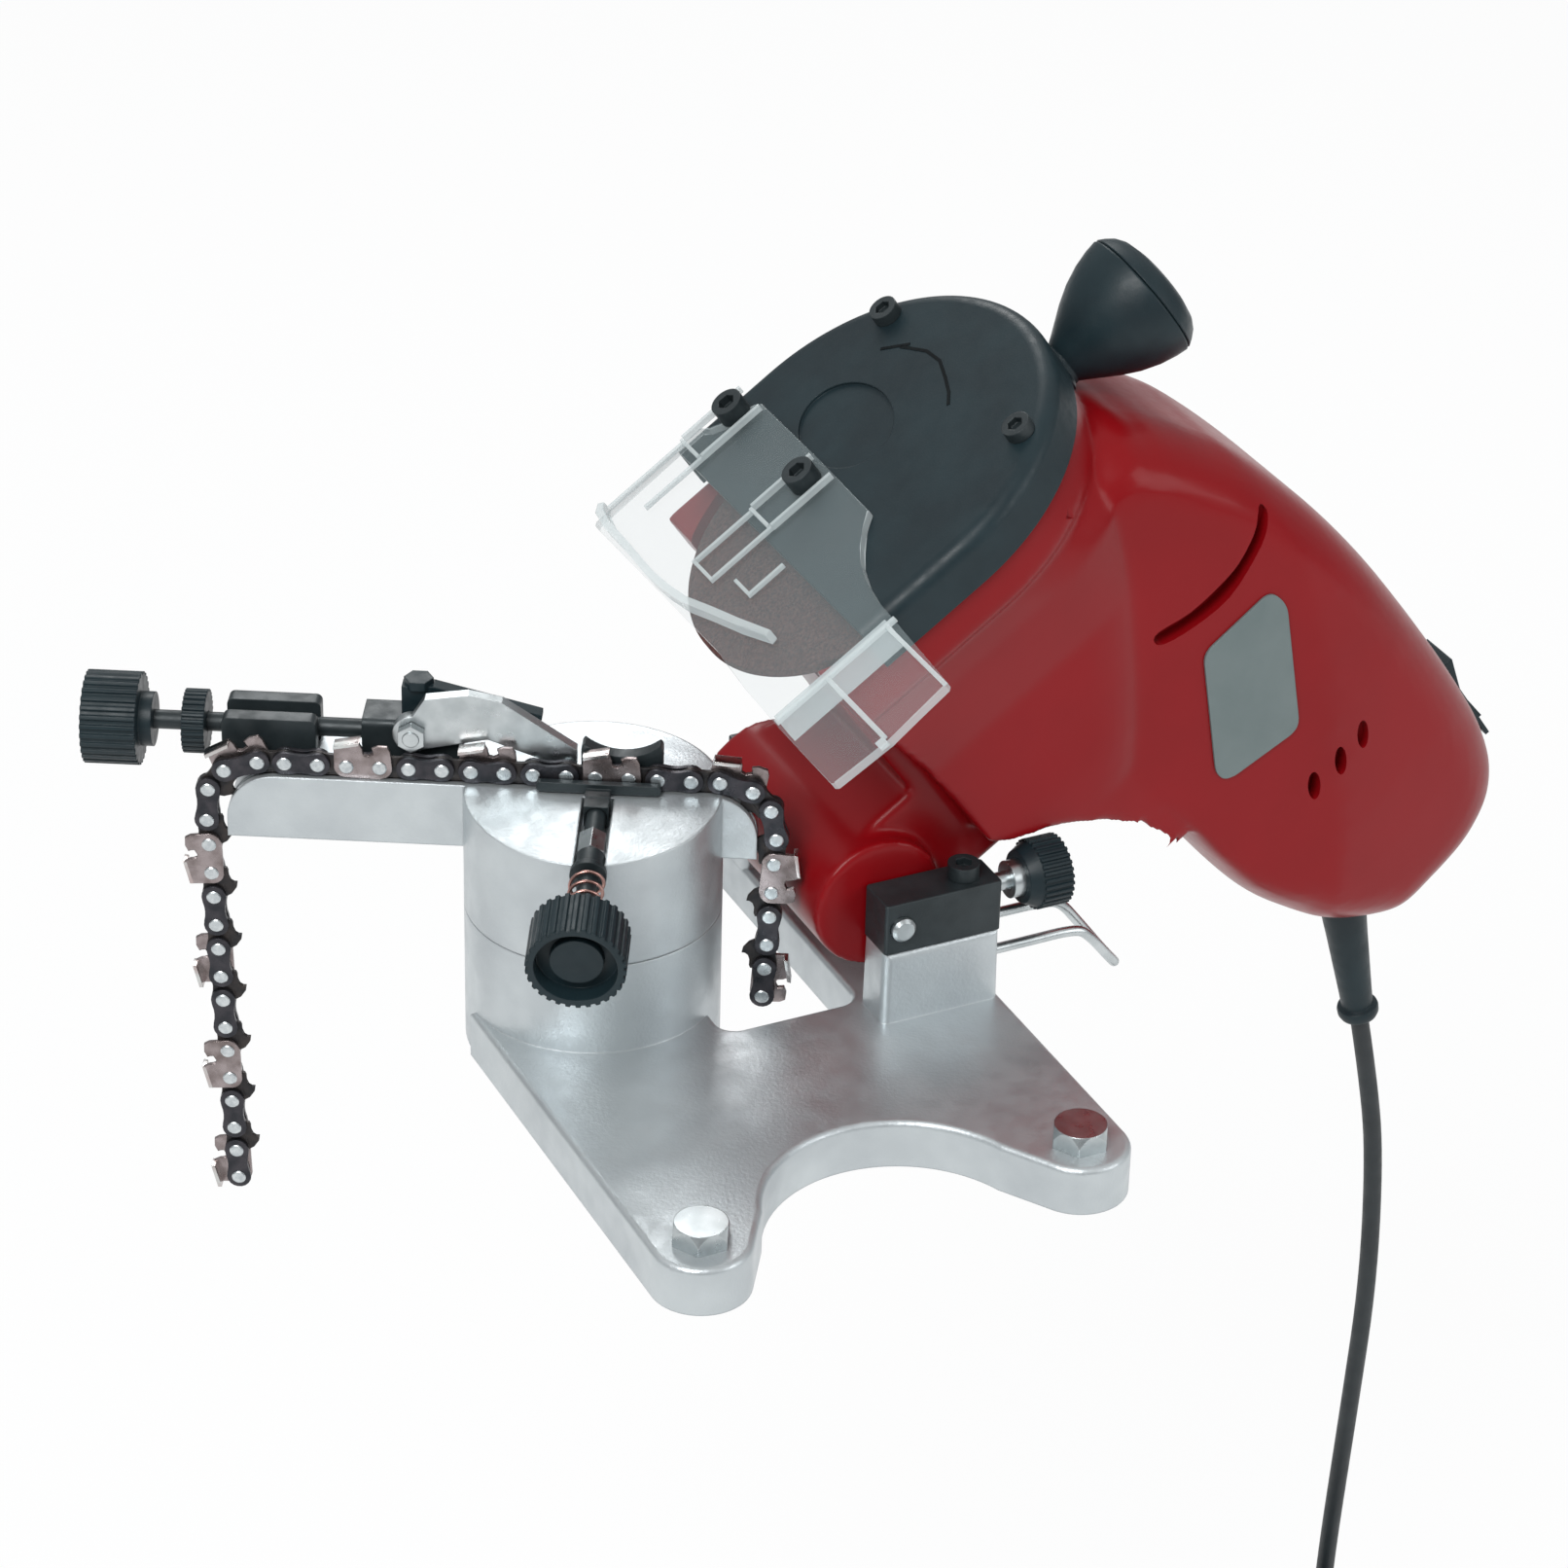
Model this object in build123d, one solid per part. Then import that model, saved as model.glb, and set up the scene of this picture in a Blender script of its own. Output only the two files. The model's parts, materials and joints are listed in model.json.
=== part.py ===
from build123d import *
import math
import os

os.makedirs("parts", exist_ok=True)

# Frame: X along the line of bench bolts, Y along the head's hinge pin, Z up.
# Origin: the vise's swivel axis at the underside of the base casting.

# Driving sizes, millimetres and degrees
running_gap = 0.3
seat_gap = 0.1
shaft_gap = 0.05
overrun = 5.0
edge_round = 2.0
plate_thickness = 16.0
turret_radius = 40.0
turret_seam_height = 47.3
vise_rest_angle = -28.4
head_rest_angle = 55.0
hinge_x = 78.0
hinge_height = 50.0

# Base casting
bolt_y = -138.0
left_bolt_x = -26.0
right_bolt_x = 98.5
foot_radius = 15.5
bench_bolt_radius = 5.0
bench_hole_radius = 5.5
bench_head_flats = 16.0
bench_head_height = 6.4
bench_shank_short = 1.0
arch_span_half = 39.25
arch_side_y = -131.0
turret_shoulder_x = 26.0
corner_round = 6.0
block_screw_x = 102.5
bench_cone_radius = 10.2
depth_hole_end_x = 107.0
depth_knob_x = 122.0
rod_height = 30.0
rod_seat_depth = 8.0
rod_reach = 32.0
rod_drop = 13.0
rod_tip = 6.0
rod_bend = 4.0
arch_crown_y = -104.0
plate_rear_y = -42.0
web_left_x = 72.0
block_length = 41.0
block_depth = 16.0
block_gap_half = 42.3
block_height = 17.4
column_top_height = 41.2
column_draft = 1.0
column_round = 2.5
block_round = 1.2
swivel_bore_radius = 5.3
swivel_bolt_radius = 5.0
swivel_recess_radius = 14.0
swivel_recess_depth = 12.0
swivel_nut_flats = 16.0
swivel_nut_height = 6.0
swivel_washer_radius = 12.0
swivel_washer_thickness = 1.6
swivel_bolt_top = 66.0
hinge_pin_radius = 4.0
hinge_pin_collar = 2.0
block_screw_radius = 3.0
block_screw_head_radius = 5.0
block_screw_head_height = 5.0
block_screw_length = 22.0
hex_socket_share = 0.5

# Vise casting and rail
rail_left = 112.5
rail_right = 50.5
rail_bottom_height = 66.5
rail_top_height = 88.0
rail_front_y = -4.4
rail_rear_y = 24.5
rail_end_rear_y = 7.5
rail_corner = 15.0
turret_front_drop = 4.5
groove_width = 2.0
groove_depth = 9.0

# Clamp screw, leaning down toward the user
clamp_tilt = 8.0
clamp_axis_height = 86.5
clamp_axis_start_y = -7.0
clamp_screw_radius = 3.0
clamp_knob_radius = 15.0
clamp_knob_depth = 17.0
clamp_knob_cup = 6.0
clamp_knob_wall = 2.6
clamp_knob_boss_radius = 8.0
knob_ribs = 30
knob_rib_height = 0.8
knob_rib_shares = (0.0, 0.4, 0.5, 0.9)
sleeve_flats = 8.0
sleeve_length = 9.0
collar_radius = 5.6
collar_length = 9.0
spring_wire = 1.1
spring_radius = 5.0
spring_turns = 5
jaw_neck_length = 8.0
clamp_slot_width = 9.6
clamp_tip = 4.0
sleeve_start = 18.4
clamp_knob_start = 62.0
clamp_knob_seat = 8.0
samples_per_turn = 72
collar_body_radius = 4.4
collar_rim = 2.0
chain_half_thickness = 2.65
groove_end_depth = 7.0
pawl_pin_depth = 4.0
stop_reach = 10.0
lever_shares = [(-0.1, 0), (-0.1, 1.2), (0.14, 1.25), (0.95, 0.2), (0.95, 0)]
lever_screw_shift = 1.0
lever_top_share = 1.12
jaw_length = 38.0
jaw_height = 3.2
jaw_thickness = 2.4
jaw_neck_x = 2.0
jaw_neck_width = 7.6
jaw_travel = 1.5
rear_jaw_left_x = -4.0
rear_jaw_right_x = 21.0
rear_jaw_height = 13.4
rear_jaw_thickness = 5.0
rear_jaw_recess_width = 24.0
rear_jaw_recess_height = 4.5

# Tooth stop on the rear of the rail
stop_rod_radius = 3.0
stop_rod_y = 15.0
stop_rod_height = 95.5
stop_knob_left = 158.0
stop_knob_radius = 14.5
stop_knob_length = 17.0
stop_hub_radius = 8.5
stop_hub_length = 4.0
stop_rod_end = 70.0
lock_nut_left = 127.5
lock_nut_length = 7.0
lock_nut_radius = 10.0
guide_left = 115.0
guide_length = 29.0
guide_height = 14.0
guide_wall = 5.5
guide_round = 2.0
carriage_left = 72.0
carriage_length = 30.0
carriage_height = 14.5
carriage_width = 15.0
pawl_thickness = 4.0
pawl_pivot_x = -56.0
pawl_pivot_height = 100.8
pawl_bolt_radius = 2.5
pawl_nut_flats = 8.0
pawl_nut_height = 3.0
pawl_boss_radius = 6.0
pawl_reach = 50.5
pawl_rise = 14.5
lever_thickness = 5.0
lever_reach = 41.0
lever_height = 8.0

# Saw chain held in the vise, 3/8 inch pitch
chain_height = 92.0
rivet_radius = 2.4
rivet_proud = 0.5
strap_half_height = 3.9
strap_thickness = 1.4
drive_thickness = 1.3
strap_clear = 0.1
first_rivet_x = -94.55
strap_pitch = 10.2
drive_pitch = 8.85
chain_y = -0.9
top_pairs = 8
tang_depth = 7.5
cutter_height = 8.6
cutter_plate = 1.2
cutter_reach = 4.6
waist_share = 0.8
plate_end_shares = ((1.0, 0.4), (0.7, 0.86), (0.3, 1.0))
tang_share = 0.3
rivet_sides = 8
cutter_front_share = 0.12
cutter_gullet_share = 0.1
cutter_rake = 1.6
cutter_every = 4
near_cutter_phase = 1
far_cutter_phase = 3
corner_drop = 2.8
right_corner = (5.7, 6.4)
right_hang = (1.8, 10.0)
right_way = (-3.8, -65.2)
right_pairs = 3
left_corner = (8.35, 0.1)
left_knee = (10.3, 3.4)
left_hang = (5.2, 6.9)
left_turn = (0.7, 10.9)
left_way = (5.3, -131.5)
left_pairs = 7
pocket_rear_x = -80.0
under_share = 0.78

# Head, drawn lowered to level and then tipped back by its rest angle
cover_radius = 66.0
cover_centre_height = 84.0
cover_foot_height = 46.0
cover_front_x = -97.0
cover_wall = 2.6
cover_dome = 7.0
cover_round = 5.0
spindle_height = 65.6
wheel_radius = 54.0
wheel_thickness = 3.2
wheel_face_x = -87.2
wheel_bore_radius = 11.5
flange_radius = 17.0
flange_thickness = 3.5
spindle_radius = 5.0
spindle_nut_flats = 17.0
spindle_nut_height = 6.0
spindle_proud = 1.5
bearing_outer_radius = 13.0
bearing_bore_gap = 0.1
front_bearing_x = -78.0
stator_front_x = -52.0
stator_length = 46.0
stator_radius = 30.0
stator_bore = 19.0
rotor_radius = 18.0
commutator_radius = 10.0
commutator_length = 11.0
fan_front_x = -67.5
fan_radius = 26.0
fan_width = 10.0
rear_bearing_x = 13.0
bearing_width = 8.0
fan_blades = 8
fan_hub_radius = 9.0
front_half_width = 63.5
front_rear_x = -80.0
front_face_x = -88.0
waist_x = -42.0
waist_half_width = 50.0
body_bottom_height = 30.0
body_rear_x = 18.0
bulge_half_width = 46.0
bulge_front_x = -67.0
bulge_rear_x = 175.0
bulge_top_height = 192.0
bulge_middle = (20.0, 118.0)
bulge_shares = ((1.0, 0.84), (0.89, 0.93), (0.72, 0.98), (0.43, 1.0))
wheel_pocket_radius = 57.5
leg_half_width = 36.0
leg_half_thickness = 20.0
barrel_radius = 22.0
barrel_gap = 0.4
skirt_height = 38.0
crown_height = 88.0
bulge_nose_height = 141.0
bulge_crown = (-21.0, 179.0)
bulge_shoulder_x = 67.0
bulge_end_round = 24.0
bulge_heel = (145.0, 104.0)
bulge_heel_rise = 34.0
bulge_heel_middle = (166.4, 115.3)
bulge_throat = (57.0, 91.0)
bulge_throat_middle = (31.0, 75.0)
bulge_foot = (11.0, 46.0)
bulge_inner_wall = 6.0
bulge_cavity_low = 112.0
bulge_cavity_front = -12.0
vent_radius = 3.2
vent_x = 83.0
vent_heights = (131.0, 142.5, 154.0)
slot_width = 3.0
slot_points = ((-5.6, 122.0), (-2.0, 144.0), (-13.4, 166.0))
housing_screw_radius = 2.0
housing_screw_head_radius = 4.0
housing_screw_head_height = 2.6
housing_screw_depth = 43.0
housing_screw_places = ((-38.0, 128.0), (136.0, 166.0), (136.0, 122.0))
blade_thickness = 2.0
handle_x = -79.0
handle_foot_height = cover_centre_height + front_half_width + seat_gap
handle_neck_radius = 7.0
handle_seam_height = 183.0
handle_seam_radius = 21.6
handle_top_height = 191.0
handle_stud_radius = 3.0
handle_flare = (12.5, 160.0)
handle_cap_shoulder = (18.5, 188.0)
handle_stud_foot_height = 136.0
handle_stud_top_height = 172.0
shield_thickness = 3.0
shield_boss_length = 3.9
shield_slot_width = 6.4
shield_screw_radius = 3.0
shield_screw_head_radius = 5.2
shield_screw_head_height = 6.0
shield_screw_height = 66.6
shield_slide = 10.0
shield_screw_places = (53.0, 2.4)
shield_corners = [
    (62, 56),
    (51, 75),
    (-29, 74),
    (-42, 62),
    (-74, 56),
    (-112, 54),
    (-116, 29),
    (-114, 9.5),
    (-31, 12),
    (59, 11),
]
shield_wall_y = -68.5
shield_wall_depth = 10.0
shield_wall_low = 11.0
shield_wall_high = 54.0
cover_screw_radius = 2.0
cover_screw_head_radius = 4.6
cover_screw_head_height = 4.0
cover_screw_y = 44.0
cover_screw_height = 122.0
cover_screw_grip = 8.0
cover_boss_radius = 5.5
recess_middle = (16.0, 88.0)
recess_half_sizes = (21.0, 15.0)
recess_depth = 1.0
switch_x = 129.0
switch_length = 38.0
switch_width = 22.0
switch_depth = 18.0
switch_wall = 3.0
switch_bezel = 1.5
rocker_pivot_drop = 4.0
rocker_half = 14.0
rocker_shares = [(-1, 0.1), (-1, 0.57), (0, 0.3), (1, 0.4), (1, 0.1), (0.4, -0.4), (-0.4, -0.4)]
badge_thickness = 0.8
badge_corners = ((7.0, 152.0), (14.0, 154.0), (55.0, 136.0), (52.0, 114.0), (45.0, 113.0), (8.0, 128.0))
relief_root = (174.0, 0.0, 121.0)
relief_way = (0.927, 0.0, -0.376)
relief_seat = 10.0
relief_ring_radius = 5.6
relief_ring_length = 4.0
plug_body = (16.0, 30.0, 36.0)
plug_neck_radius = 5.5
plug_neck_share = 0.8
plug_neck_length = 14.0
plug_lead = 28.0
pin_radius = 2.3
pin_length = 19.0
pin_spacing = 19.0
coil_radius = 36.0
coil_pitch = 7.2
coil_turns = 7
coil_start = (296.0, -2.0, -355.0)
coil_lead = 32.0
tie_width = 9.0
tie_thickness = 1.5
tie_gap = 0.3

# Depth screw, bent rod and mains lead
depth_screw_radius = 3.0
depth_axis_height = 53.5
depth_knob_radius = 11.3
depth_knob_length = 14.0
depth_knob_neck_radius = 8.5
depth_knob_shoulder = 4.0
depth_ring_radius = 6.0
depth_ring_length = 4.0
bent_rod_radius = 1.5
cord_diameter = 6.5
relief_length = 50.0
relief_top_radius = 5.6
relief_tip_radius = 4.2
bend_share = 0.45

# Places of the head, the vise and what leans on them
head_place = Location((hinge_x, 0, hinge_height), (0, head_rest_angle, 0))
vise_place = Location((0, 0, 0), (0, 0, vise_rest_angle))
base_middle = Align.CENTER, Align.CENTER, Align.MIN


def save(name, solids):
    shape = Compound(children=[item for item in solids]) if len(solids) > 1 else solids[0]
    shape.label = name
    export_step(shape, os.path.join("parts", name + ".step"))


def rod(start, axis, length, radius):
    return Plane(start, z_dir=axis) * Cylinder(radius, length, align=base_middle)


def block(low, high):
    size = [top - bottom for bottom, top in zip(low, high)]
    middle = [(top + bottom) / 2 for bottom, top in zip(low, high)]
    return Pos(*middle) * Box(*size)


def prism(plane, points, depth):
    return extrude(plane * make_face(Polyline(*points, close=True)), depth)


def hexagon(start, axis, flats, height):
    outline = RegularPolygon(flats / 2, 6, major_radius=False)
    return extrude(Plane(start, z_dir=axis) * outline, height)


def upper_edges(solid):
    return solid.faces().sort_by(Axis.Z)[-1].edges()


def ribbed_disc(start, axis, radius, length):
    low = radius - knob_rib_height
    points = []
    for rib in range(knob_ribs):
        for share, reach in zip(knob_rib_shares, (radius, radius, low, low)):
            angle = 2 * math.pi * (rib + share) / knob_ribs
            points.append((reach * math.cos(angle), reach * math.sin(angle)))
    return prism(Plane(start, z_dir=axis), points, length)


# Base casting: foot plate, turret, and the two columns that carry the head
def foot_tangent():
    # Where the side of the arch meets the round of the left foot
    crown_x = (left_bolt_x + right_bolt_x) / 2
    side_x = crown_x - arch_span_half
    reach = math.hypot(left_bolt_x - side_x, bolt_y - arch_side_y)
    toward = math.atan2(bolt_y - arch_side_y, left_bolt_x - side_x)
    slope = toward + math.asin(foot_radius / reach)
    run = math.sqrt(reach ** 2 - foot_radius ** 2)
    return side_x + run * math.cos(slope), arch_side_y + run * math.sin(slope)


def plate_outline():
    crown_x = (left_bolt_x + right_bolt_x) / 2
    tangent_x, tangent_y = foot_tangent()
    left_edge = left_bolt_x - foot_radius
    right_edge = right_bolt_x + foot_radius
    left_side = (crown_x - arch_span_half, arch_side_y)
    right_side = (crown_x + arch_span_half, arch_side_y)
    mirrored_x = 2 * crown_x - tangent_x
    low_y = bolt_y - foot_radius
    rear_y = block_gap_half + block_depth
    lines = [
        ThreePointArc((left_edge, bolt_y), (left_bolt_x, low_y), (tangent_x, tangent_y)),
        Line((tangent_x, tangent_y), left_side),
        ThreePointArc(left_side, (crown_x, arch_crown_y), right_side),
        Line(right_side, (mirrored_x, tangent_y)),
        ThreePointArc((mirrored_x, tangent_y), (right_bolt_x, low_y), (right_edge, bolt_y)),
        Polyline(
            (right_edge, bolt_y),
            (right_edge, rear_y),
            (web_left_x, rear_y),
            (web_left_x, plate_rear_y),
            (turret_shoulder_x, plate_rear_y),
            (turret_shoulder_x, 0),
            (left_edge, 0),
            (left_edge, bolt_y),
        ),
    ]
    return make_face(lines)


def base_casting():
    plate = extrude(plate_outline(), plate_thickness)
    posts = plate.edges().filter_by(Axis.Z)
    inner = posts.filter_by_position(Axis.Y, plate_rear_y - seat_gap, plate_rear_y + seat_gap)
    plate = fillet(inner, corner_round)
    plate = fillet(upper_edges(plate), edge_round)
    casting = plate + Cylinder(turret_radius, turret_seam_height, align=base_middle)
    for side in (-1, 1):
        casting += hinge_column(side)
    casting -= Cylinder(swivel_bore_radius, turret_seam_height + overrun, align=base_middle)
    casting -= Cylinder(swivel_recess_radius, swivel_recess_depth, align=base_middle)
    for bolt_x in (left_bolt_x, right_bolt_x):
        casting -= Pos(bolt_x, bolt_y, 0) * Cylinder(
            bench_hole_radius, plate_thickness, align=base_middle
        )
    for side in (-1, 1):
        screw_y = side * (block_gap_half + block_depth / 2)
        screw_foot = column_top_height + block_height - block_screw_length - shaft_gap
        casting -= rod(
            (block_screw_x, screw_y, screw_foot),
            (0, 0, 1),
            block_screw_length,
            block_screw_radius + shaft_gap,
        )
    casting -= bent_rod_hole()
    return casting


def hinge_column(side):
    middle_x = web_left_x + block_length / 2
    middle_y = side * (block_gap_half + block_depth / 2)
    foot = Pos(middle_x, middle_y, 0) * Rectangle(block_length, block_depth)
    head = Pos(middle_x, middle_y, column_top_height) * Rectangle(
        block_length - column_draft, block_depth - column_draft
    )
    column = loft([foot, head])
    return fillet(column.edges().filter_by(lambda edge: edge.length > block_height), column_round)


def hinge_block(side):
    middle_x = web_left_x + block_length / 2
    middle_y = side * (block_gap_half + block_depth / 2)
    body = Pos(middle_x, middle_y, column_top_height) * Box(
        block_length - column_draft, block_depth - column_draft, block_height, align=base_middle
    )
    body = fillet(body.edges().filter_by(Axis.Z), block_round)
    body = fillet(upper_edges(body), block_round / 2)
    reach = block_gap_half + block_depth + overrun
    body -= rod((hinge_x, -reach, hinge_height), (0, 1, 0), 2 * reach, hinge_pin_radius + shaft_gap)
    body -= rod(
        (block_screw_x, middle_y, 0),
        (0, 0, 1),
        column_top_height + block_height + overrun,
        block_screw_radius + shaft_gap,
    )
    if side < 0:
        body -= rod(
            (depth_hole_end_x, middle_y, depth_axis_height),
            (1, 0, 0),
            block_length,
            depth_screw_radius + shaft_gap,
        )
    return body


def block_screws():
    screws = []
    top = column_top_height + block_height
    for side in (-1, 1):
        middle_y = side * (block_gap_half + block_depth / 2)
        screw = rod(
            (block_screw_x, middle_y, top - block_screw_length),
            (0, 0, 1),
            block_screw_length,
            block_screw_radius,
        )
        screw += rod(
            (block_screw_x, middle_y, top), (0, 0, 1), block_screw_head_height, block_screw_head_radius
        )
        socket_depth = block_screw_head_height * hex_socket_share
        screw -= hexagon(
            (block_screw_x, middle_y, top + socket_depth),
            (0, 0, 1),
            block_screw_head_radius,
            socket_depth,
        )
        screws.append(screw)
    return screws


def hinge_pin():
    reach = block_gap_half + block_depth + hinge_pin_collar
    pin = rod((hinge_x, -reach, hinge_height), (0, 1, 0), 2 * reach, hinge_pin_radius)
    return chamfer(pin.edges(), hinge_pin_collar / 2)


def bench_bolts():
    bolts = []
    for bolt_x in (left_bolt_x, right_bolt_x):
        bolt = rod(
            (bolt_x, bolt_y, bench_shank_short),
            (0, 0, 1),
            plate_thickness - bench_shank_short,
            bench_bolt_radius,
        )
        head = hexagon((bolt_x, bolt_y, plate_thickness), (0, 0, 1), bench_head_flats, bench_head_height)
        cap = Pos(bolt_x, bolt_y, plate_thickness) * Cone(
            bench_cone_radius, bench_head_flats / 2, bench_head_height, align=base_middle
        )
        bolts.append(bolt + (head & cap))
    return bolts


# Swivel: a stud fixed in the vise, nutted in a recess under the turret
def swivel_stud():
    foot = swivel_recess_depth - swivel_washer_thickness - swivel_nut_height - overrun / 2
    return rod((0, 0, foot), (0, 0, 1), swivel_bolt_top - foot, swivel_bolt_radius)


def swivel_washer():
    low = swivel_recess_depth - running_gap - swivel_washer_thickness
    ring = rod((0, 0, low), (0, 0, 1), swivel_washer_thickness, swivel_washer_radius)
    return ring - rod((0, 0, low), (0, 0, 1), swivel_washer_thickness, swivel_bolt_radius + shaft_gap)


def swivel_nut():
    low = swivel_recess_depth - running_gap - swivel_washer_thickness - swivel_nut_height
    nut = hexagon((0, 0, low), (0, 0, 1), swivel_nut_flats, swivel_nut_height)
    return nut - rod((0, 0, low), (0, 0, 1), swivel_nut_height, swivel_bolt_radius + shaft_gap)


# Depth screw on the front block, and the bent wire rod below it
def depth_axis_y():
    return -(block_gap_half + block_depth / 2)


def depth_screw():
    start = depth_hole_end_x + running_gap
    return rod(
        (start, depth_axis_y(), depth_axis_height),
        (1, 0, 0),
        depth_knob_x + overrun - start,
        depth_screw_radius,
    )


def depth_knob():
    # A smooth cone next to the ring, then the ribbed grip
    knob = Plane((depth_knob_x, depth_axis_y(), depth_axis_height), z_dir=(1, 0, 0)) * Cone(
        depth_knob_neck_radius,
        depth_knob_radius - knob_rib_height,
        depth_knob_shoulder,
        align=base_middle,
    )
    knob += ribbed_disc(
        (depth_knob_x + depth_knob_shoulder, depth_axis_y(), depth_axis_height),
        (1, 0, 0),
        depth_knob_radius,
        depth_knob_length - depth_knob_shoulder,
    )
    cup = rod(
        (depth_knob_x + depth_knob_length - clamp_knob_cup, depth_axis_y(), depth_axis_height),
        (1, 0, 0),
        clamp_knob_cup,
        depth_knob_radius - clamp_knob_wall,
    )
    bore = rod(
        (depth_knob_x, depth_axis_y(), depth_axis_height),
        (1, 0, 0),
        overrun,
        depth_screw_radius + shaft_gap,
    )
    return knob - cup - bore


def depth_ring():
    start = depth_knob_x - depth_ring_length
    return rod(
        (start, depth_axis_y(), depth_axis_height), (1, 0, 0), depth_ring_length, depth_ring_radius
    )


def bent_rod_path():
    root = web_left_x + block_length - rod_seat_depth
    knee = root + rod_seat_depth + rod_reach
    points = [
        (root, depth_axis_y(), rod_height),
        (knee, depth_axis_y(), rod_height),
        (knee + rod_drop, depth_axis_y(), rod_height - rod_drop),
        (knee + rod_drop + rod_tip, depth_axis_y(), rod_height - rod_drop),
    ]
    return FilletPolyline(*points, radius=rod_bend)


def bent_rod():
    start = Plane(
        (web_left_x + block_length - rod_seat_depth, depth_axis_y(), rod_height), z_dir=(1, 0, 0)
    )
    return sweep(start * Circle(bent_rod_radius), path=bent_rod_path())


def bent_rod_hole():
    root = (web_left_x + block_length - rod_seat_depth - shaft_gap, depth_axis_y(), rod_height)
    return rod(root, (1, 0, 0), rod_seat_depth + overrun, bent_rod_radius + shaft_gap)


# Vise: turret top with the rail across it, drawn before it is turned to its rest angle
def rail():
    bar = block((-rail_left, rail_front_y, rail_bottom_height), (0, rail_rear_y, rail_top_height))
    bar += block((0, rail_front_y, rail_bottom_height), (rail_right, rail_end_rear_y, rail_top_height))
    bar = fillet(
        bar.edges().filter_by(Axis.Y).filter_by(lambda edge: is_rail_shoulder(edge)), rail_corner
    )
    return bar


def is_rail_shoulder(edge):
    middle = edge.center()
    return middle.Z > rail_top_height - seat_gap and abs(middle.X) > rail_right / 2


def vise_casting():
    low = turret_seam_height + running_gap
    casting = Pos(0, 0, low) * Cylinder(turret_radius, rail_top_height - low, align=base_middle)
    casting = fillet(upper_edges(casting), block_round)
    casting += rail()
    casting -= slope_cut()
    casting -= groove()
    casting -= clamp_slot()
    casting -= rod((0, 0, 0), (0, 0, 1), swivel_bolt_top, swivel_bolt_radius + shaft_gap)
    return casting


def slope_cut():
    # The front of the turret's top falls away toward the user
    fall = turret_front_drop / (turret_radius + clamp_axis_start_y)
    far = turret_radius + overrun
    points = [
        (rail_front_y, rail_top_height),
        (-far, rail_top_height - fall * (far + rail_front_y)),
        (-far, rail_top_height + overrun),
        (rail_front_y, rail_top_height + overrun),
    ]
    return prism(Plane((-far, 0, 0), x_dir=(0, 1, 0), z_dir=(1, 0, 0)), points, 2 * far)


def groove():
    # Slot for the inward teeth of the chain, along the rail and down both of its ends
    near, far = chain_y - groove_width / 2, chain_y + groove_width / 2
    cut = block(
        (-rail_left, near, rail_top_height - groove_depth), (rail_right, far, rail_top_height + overrun)
    )
    cut += block(
        (-rail_left - overrun, near, 0), (-rail_left + groove_end_depth, far, rail_top_height + overrun)
    )
    cut += block(
        (rail_right - groove_end_depth, near, 0), (rail_right + overrun, far, rail_top_height + overrun)
    )
    return cut - Cylinder(turret_radius, rail_top_height - groove_depth, align=base_middle)


# Clamp: a screw lying in a slot of the slope pushes the front jaw against the chain
def clamp_axis():
    tilt = math.radians(clamp_tilt)
    return (0, -math.cos(tilt), -math.sin(tilt))


def clamp_point(distance):
    direction = clamp_axis()
    start = (jaw_neck_x, clamp_axis_start_y, clamp_axis_height)
    return tuple(value + distance * step for value, step in zip(start, direction))


def clamp_rod(first, last, radius):
    return rod(clamp_point(first), clamp_axis(), last - first, radius)


def clamp_slot():
    slot = Box(
        clamp_slot_width, turret_radius, clamp_slot_width, align=(Align.CENTER, Align.MAX, Align.CENTER)
    )
    slot = Rot(clamp_tilt, 0, 0) * slot
    return Pos(jaw_neck_x, clamp_axis_start_y, clamp_axis_height) * slot


def front_jaw():
    back_y = chain_y - chain_half_thickness - running_gap
    low = rail_top_height + running_gap + seat_gap
    bar = block(
        (jaw_neck_x - jaw_length / 2, back_y - jaw_thickness, low),
        (jaw_neck_x + jaw_length / 2, back_y, low + jaw_height),
    )
    bar = fillet(bar.edges().filter_by(Axis.Y), jaw_thickness / 2)
    half = jaw_neck_width / 2
    neck = Box(
        jaw_neck_width, jaw_neck_length, jaw_neck_width, align=(Align.CENTER, Align.MAX, Align.CENTER)
    )
    neck = Pos(jaw_neck_x, clamp_axis_start_y, clamp_axis_height) * (Rot(clamp_tilt, 0, 0) * neck)
    bridge = block(
        (jaw_neck_x - half, clamp_axis_start_y - half, low),
        (jaw_neck_x + half, back_y, low + jaw_height / 2),
    )
    jaw = bar + neck + bridge
    return jaw - clamp_rod(
        clamp_tip - jaw_travel - running_gap, jaw_neck_length + overrun, clamp_screw_radius + running_gap
    )


def clamp_screw():
    return clamp_rod(clamp_tip + running_gap, clamp_knob_start + clamp_knob_seat, clamp_screw_radius)


def clamp_sleeve():
    sleeve = hexagon(clamp_point(sleeve_start), clamp_axis(), sleeve_flats, sleeve_length)
    return sleeve - clamp_rod(
        sleeve_start, sleeve_start + sleeve_length, clamp_screw_radius + running_gap
    )


def clamp_collar():
    start = sleeve_start + sleeve_length + running_gap
    collar = clamp_rod(start, start + collar_length, collar_body_radius)
    collar += clamp_rod(start + collar_length - collar_rim, start + collar_length, collar_radius)
    return collar - clamp_rod(start, start + collar_length, clamp_screw_radius + shaft_gap)


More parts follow.
